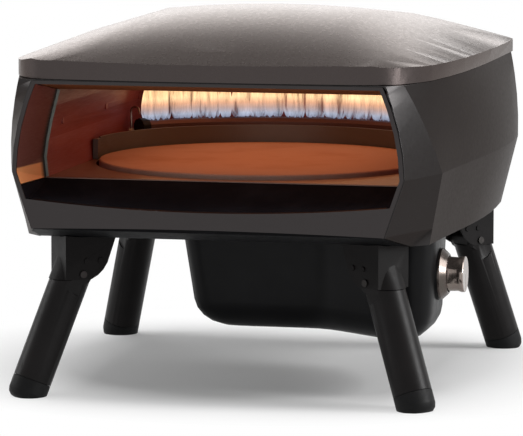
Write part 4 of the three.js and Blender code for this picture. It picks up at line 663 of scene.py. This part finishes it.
def flame_row_tree(material):
    """Geometry Nodes: one tongue is set along an arc, with random width, height and turn."""
    tree = bpy.data.node_groups.new("Flame row", "GeometryNodeTree")
    interface = tree.interface
    interface.new_socket("Tongue", in_out="INPUT", socket_type="NodeSocketGeometry")
    for name, kind in (
        ("Count", "NodeSocketInt"),
        ("Arc radius", "NodeSocketFloat"),
        ("First angle", "NodeSocketFloat"),
        ("Sweep", "NodeSocketFloat"),
        ("Scatter", "NodeSocketFloat"),
        ("Seed", "NodeSocketInt"),
    ):
        interface.new_socket(name, in_out="INPUT", socket_type=kind)
    interface.new_socket("Row", in_out="OUTPUT", socket_type="NodeSocketGeometry")
    new = tree.nodes.new
    link = tree.links.new
    # The tongue is the mesh that the modifier sits on, so it comes in as the first socket
    source = new("NodeGroupInput")
    result = new("NodeGroupOutput")
    arc = new("GeometryNodeCurveArc")
    link(source.outputs["Count"], arc.inputs["Resolution"])
    link(source.outputs["Arc radius"], arc.inputs["Radius"])
    link(source.outputs["First angle"], arc.inputs["Start Angle"])
    link(source.outputs["Sweep"], arc.inputs["Sweep Angle"])
    points = new("GeometryNodeCurveToPoints")
    points.mode = "EVALUATED"
    link(arc.outputs["Curve"], points.inputs["Curve"])
    stray = new("FunctionNodeRandomValue")
    stray.data_type = "FLOAT_VECTOR"
    stray.inputs["Min"].default_value = (-1.0, -1.0, 0.0)
    stray.inputs["Max"].default_value = (1.0, 1.0, 0.0)
    link(source.outputs["Seed"], stray.inputs["Seed"])
    spread = new("ShaderNodeVectorMath")
    spread.operation = "SCALE"
    link(stray.outputs["Value"], spread.inputs["Vector"])
    link(source.outputs["Scatter"], spread.inputs["Scale"])
    moved = new("GeometryNodeSetPosition")
    link(points.outputs["Points"], moved.inputs["Geometry"])
    link(spread.outputs["Vector"], moved.inputs["Offset"])
    size = new("FunctionNodeRandomValue")
    size.data_type = "FLOAT_VECTOR"
    size.inputs["Min"].default_value, size.inputs["Max"].default_value = TONGUE_SCALES
    link(source.outputs["Seed"], size.inputs["Seed"])
    spin = new("FunctionNodeRandomValue")
    spin.data_type = "FLOAT_VECTOR"
    spin.inputs["Min"].default_value, spin.inputs["Max"].default_value = TONGUE_TURNS
    link(source.outputs["Seed"], spin.inputs["Seed"])
    placed = new("GeometryNodeInstanceOnPoints")
    link(moved.outputs["Geometry"], placed.inputs["Points"])
    link(source.outputs["Tongue"], placed.inputs["Instance"])
    link(size.outputs["Value"], placed.inputs["Scale"])
    link(spin.outputs["Value"], placed.inputs["Rotation"])
    real = new("GeometryNodeRealizeInstances")
    link(placed.outputs["Instances"], real.inputs["Geometry"])
    coat = new("GeometryNodeSetMaterial")
    coat.inputs["Material"].default_value = material
    link(real.outputs["Geometry"], coat.inputs["Geometry"])
    link(coat.outputs["Geometry"], result.inputs["Row"])
    return tree


def grown(name, mesh, tree, values):
    """Runs a Geometry Nodes tree on a mesh and returns a plain object with the result."""
    seed_object = bpy.data.objects.new(f"{name}_source", mesh)
    bpy.context.scene.collection.objects.link(seed_object)
    modifier = seed_object.modifiers.new(tree.name, "NODES")
    modifier.node_group = tree
    sockets = {s.name: s.identifier for s in tree.interface.items_tree if s.in_out == "INPUT"}
    for key, value in values.items():
        modifier[sockets[key]] = value
    bpy.context.view_layer.update()
    graph = bpy.context.evaluated_depsgraph_get()
    result = bpy.data.meshes.new_from_object(
        seed_object.evaluated_get(graph), preserve_all_data_layers=True, depsgraph=graph
    )
    result.name = name
    bpy.data.objects.remove(seed_object)
    piece = bpy.data.objects.new(name, result)
    bpy.context.scene.collection.objects.link(piece)
    return piece


class OVEN_OT_fire(OvenOperator, bpy.types.Operator):
    """Lights a curtain of flames over the burner's ports"""

    bl_idname = "oven.fire"
    bl_label = "Fire"

    def execute(self, context):
        low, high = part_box("burner_tube")
        stone_low, stone_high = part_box("pizza_stone")
        centre_y = (stone_low.y + stone_high.y) / 2
        tube_radius = (high.z - low.z) / 2
        radius = high.y - tube_radius - centre_y
        half_span = high.x - tube_radius * FIRE_SPAN_SHARE
        first = math.acos(half_span / radius)
        base = high.z - FIRE_SINK
        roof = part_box("chamber_roof")[0].z - FIRE_ROOF_GAP
        height = min(self.sizes.tongue_height, roof - base)
        material = fire("gas_flame", base, base + self.sizes.tongue_blue)
        tree = flame_row_tree(material)
        mesh = tongue_mesh(height, self.sizes.tongue_width)
        values = {
            "Count": self.sizes.flame_count,
            "Arc radius": radius,
            "First angle": first + FIRE_START_ANGLE,
            "Sweep": math.pi - 2 * first - FIRE_TRIM_ANGLE,
            "Scatter": FIRE_SCATTER,
            "Seed": self.sizes.flame_seed,
        }
        piece = grown("gas_flames", mesh, tree, values)
        piece.data.transform(Matrix.Translation((0.0, centre_y, base)))
        piece.data.shade_smooth()
        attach(piece, BODY)
        return {"FINISHED"}


class OVEN_OT_underbody(OvenOperator, bpy.types.Operator):
    """Dresses the base pan and the housing under it"""

    bl_idname = "oven.underbody"
    bl_label = "Underbody"

    def execute(self, context):
        pan = powder_coat("pan_coat", tuple(self.colours.black), rough=(0.5, 0.62), shine=0.06)
        dressed("base_pan", pan, self.sizes.sheet_edge)
        black = tuple(self.colours.black)
        tub = powder_coat("housing_coat", black, rough=(0.32, 0.4), depth=0.06, shine=0.12)
        dressed("housing", tub, self.sizes.sheet_edge, angle=40.0)
        return {"FINISHED"}


class OVEN_OT_controls(OvenOperator, bpy.types.Operator):
    """Dresses the gas knob, its bezel and stem, the valve, the pipe and the inlet"""

    bl_idname = "oven.controls"
    bl_label = "Gas Control"

    def execute(self, context):
        bronze = tuple(self.colours.bronze)
        knob = tinted_steel("knob_bronze", bronze, rough=(0.15, 0.24), stretch=(1.0, 0.1, 0.1))
        dressed("gas_knob", knob, self.sizes.casting_edge)
        rim = tinted_steel(
            "bezel_bronze", shade(bronze, 0.34), rough=(0.2, 0.32), stretch=(1.0, 0.1, 0.1)
        )
        dressed("knob_bezel", rim, self.sizes.casting_edge)
        steel = tinted_steel("stem_steel", STEM_STEEL)
        for node in ("valve_stem", "valve_plunger"):
            dressed(node, steel, self.sizes.casting_edge / 2)
        brass = turned_brass("fitting_brass")
        for node in ("gas_valve", "gas_inlet"):
            dressed(node, brass, self.sizes.casting_edge / 2)
        dressed("gas_pipe", brass, 0.0)
        return {"FINISHED"}


class OVEN_OT_legs(OvenOperator, bpy.types.Operator):
    """Dresses the four folding legs, their brackets, pins and feet"""

    bl_idname = "oven.legs"
    bl_label = "Folding Legs"

    def execute(self, context):
        tint = tuple(self.colours.leg)
        coat = powder_coat("leg_coat", tint, rough=(0.34, 0.42), depth=0.06, shine=0.12)
        bracket = powder_coat("bracket_coat", tint, rough=(0.4, 0.48), depth=0.06, shine=0.08)
        rubber = moulded_rubber("foot_rubber", FOOT_RUBBER)
        steel = tinted_steel("pin_steel", PIN_STEEL)
        for end in ENDS:
            dressed(f"leg_{end}", coat, self.sizes.sheet_edge)
            dressed(f"leg_bracket_{end}", bracket, self.sizes.sheet_edge, angle=18.0)
            dressed(f"foot_{end}", rubber, self.sizes.casting_edge)
            dressed(f"leg_pin_{end}", steel, self.sizes.casting_edge / 2)
        return {"FINISHED"}


# Stage


def camera_turn():
    """The camera's rotation from its yaw, pitch and roll."""
    yaw, pitch = CAMERA_YAW, CAMERA_PITCH
    level = math.cos(pitch)
    forward = Vector((-math.sin(yaw) * level, math.cos(yaw) * level, -math.sin(pitch)))
    right = Vector((math.cos(yaw), math.sin(yaw), 0.0))
    down = forward.cross(right)
    tilted_right = math.cos(CAMERA_ROLL) * right + math.sin(CAMERA_ROLL) * down
    tilted_down = -math.sin(CAMERA_ROLL) * right + math.cos(CAMERA_ROLL) * down
    return Matrix((tilted_right, -tilted_down, -forward)).transposed()


def soft_lamp(name, place, target, size, power, tint=(1.0, 1.0, 1.0)):
    data = bpy.data.lights.new(name, "AREA")
    data.shape = "RECTANGLE"
    data.size, data.size_y = size
    data.energy = power
    data.color = tint
    lamp = bpy.data.objects.new(name, data)
    lamp.location = place
    lamp.rotation_euler = (Vector(target) - Vector(place)).to_track_quat("-Z", "Y").to_euler()
    bpy.context.scene.collection.objects.link(lamp)
    return lamp


def seen_ray(tree, mirrored=None):
    """One for rays from the camera, and for those that a shiny or clear surface sends on.

    The rays that a shiny surface sends on may get a value of their own.
    """
    paths = tree.nodes.new("ShaderNodeLightPath")
    glossy = paths.outputs["Is Glossy Ray"]
    if mirrored is not None:
        glossy = calculate(tree, "MULTIPLY", glossy, mirrored)
    camera, through = paths.outputs["Is Camera Ray"], paths.outputs["Is Transmission Ray"]
    clear = calculate(tree, "MAXIMUM", camera, through)
    return calculate(tree, "MAXIMUM", clear, glossy)


def floor_material():
    """A white floor that keeps the shadow near the oven and is plain white farther off."""
    material, tree, shader = surface("studio_floor")
    shader.inputs["Base Color"].default_value = FLOOR_WHITE
    shader.inputs["Roughness"].default_value = 0.9
    shader.inputs["Specular IOR Level"].default_value = 0.0
    reach = tree.nodes.new("ShaderNodeVectorMath")
    reach.operation = "LENGTH"
    tree.links.new(coordinates(tree, move=(0.0, -SHADOW_CENTRE_Y, 0.0)), reach.inputs[0])
    away = between(tree, reach.outputs["Value"], *SHADOW_FADE, SHADOW_LIFT, 1.0)
    white = calculate(tree, "MULTIPLY", away, seen_ray(tree))
    glow = tree.nodes.new("ShaderNodeEmission")
    glow.inputs["Strength"].default_value = 1.0
    mix = tree.nodes.new("ShaderNodeMixShader")
    tree.links.new(white, mix.inputs["Fac"])
    tree.links.new(shader.outputs["BSDF"], mix.inputs[1])
    tree.links.new(glow.outputs["Emission"], mix.inputs[2])
    tree.links.new(mix.outputs["Shader"], tree.nodes["Material Output"].inputs["Surface"])
    return material


def white_surroundings():
    """A world that is white to the camera, fades overhead in reflections and lights plainly."""
    world = bpy.data.worlds.new("studio_world")
    world.use_nodes = True
    bpy.context.scene.world = world
    tree = world.node_tree
    background = tree.nodes["Background"]
    background.inputs["Color"].default_value = (1.0, 1.0, 1.0, 1.0)
    direction = tree.nodes.new("ShaderNodeTexCoord")
    split = tree.nodes.new("ShaderNodeSeparateXYZ")
    tree.links.new(direction.outputs["Generated"], split.inputs["Vector"])
    mirrored = between(tree, split.outputs["Z"], *CEILING_RISE, 1.0, CEILING_LIGHT)
    strength = between(tree, seen_ray(tree, mirrored), 0.0, 1.0, SKY_LIGHT, 1.0)
    tree.links.new(strength, background.inputs["Strength"])


class OVEN_OT_stage(OvenOperator, bpy.types.Operator):
    """Makes the floor, the world, the lamps and the camera at the photograph's view"""

    bl_idname = "oven.stage"
    bl_label = "Studio Stage"

    def execute(self, context):
        reach = self.sizes.floor_reach
        mesh = bpy.data.meshes.new("studio_floor")
        corners = [(-reach, -reach, 0), (reach, -reach, 0), (reach, reach, 0), (-reach, reach, 0)]
        mesh.from_pydata(corners, [], [(0, 1, 2, 3)])
        mesh.materials.append(floor_material())
        floor = bpy.data.objects.new("studio_floor", mesh)
        bpy.context.scene.collection.objects.link(floor)
        white_surroundings()
        for name, place, size, power in LAMPS:
            soft_lamp(name, place, LAMP_AIM, size, power)
        name, place, size, power = EDGE_LIGHT
        soft_lamp(name, place, LAMP_AIM, size, power).visible_diffuse = False
        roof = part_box("chamber_roof")[0].z - CLEAR_OF_ROOF
        over_stone = (0.0, 0.0, roof)
        soft_lamp("chamber_glow", over_stone, (0.0, 0.0, 0.0), GLOW_SIZE, GLOW_POWER, GLOW_TINT)
        data = bpy.data.cameras.new("photo_camera")
        data.lens = CAMERA_LENS
        data.sensor_width = CAMERA_SENSOR
        data.clip_end = VIEW_REACH
        camera = bpy.data.objects.new("photo_camera", data)
        camera.matrix_world = Matrix.Translation(CAMERA_PLACE) @ camera_turn().to_4x4()
        bpy.context.scene.collection.objects.link(camera)
        bpy.context.scene.camera = camera
        bpy.context.scene.view_settings.view_transform = "Standard"
        return {"FINISHED"}


class OVEN_PT_panel(bpy.types.Panel):
    """Lists the oven's operators, sizes and colours"""

    bl_idname = "OVEN_PT_panel"
    bl_label = "Pizza Oven"
    bl_space_type = "VIEW_3D"
    bl_region_type = "UI"
    bl_category = "Pizza Oven"

    def draw(self, context):
        column = self.layout.column()
        for operator in OPERATORS:
            column.operator(operator.bl_idname)
        for group in (context.scene.oven_sizes, context.scene.oven_colours):
            for key in group.__annotations__:
                column.prop(group, key)


OPERATORS = (
    OVEN_OT_shell,
    OVEN_OT_lid,
    OVEN_OT_chamber,
    OVEN_OT_stone,
    OVEN_OT_burner,
    OVEN_OT_fire,
    OVEN_OT_underbody,
    OVEN_OT_controls,
    OVEN_OT_legs,
    OVEN_OT_stage,
)
CLASSES = (OvenSizes, OvenColours, *OPERATORS, OVEN_PT_panel)


def register():
    for item in CLASSES:
        bpy.utils.register_class(item)
    bpy.types.Scene.oven_sizes = bpy.props.PointerProperty(type=OvenSizes)
    bpy.types.Scene.oven_colours = bpy.props.PointerProperty(type=OvenColours)


def unregister():
    del bpy.types.Scene.oven_colours
    del bpy.types.Scene.oven_sizes
    for item in reversed(CLASSES):
        bpy.utils.unregister_class(item)


def main():
    register()
    bpy.ops.oven.shell()
    bpy.ops.oven.lid()
    bpy.ops.oven.chamber()
    bpy.ops.oven.stone()
    bpy.ops.oven.burner()
    bpy.ops.oven.fire()
    bpy.ops.oven.underbody()
    bpy.ops.oven.controls()
    bpy.ops.oven.legs()
    bpy.ops.oven.stage()


if __name__ == "__main__":
    main()
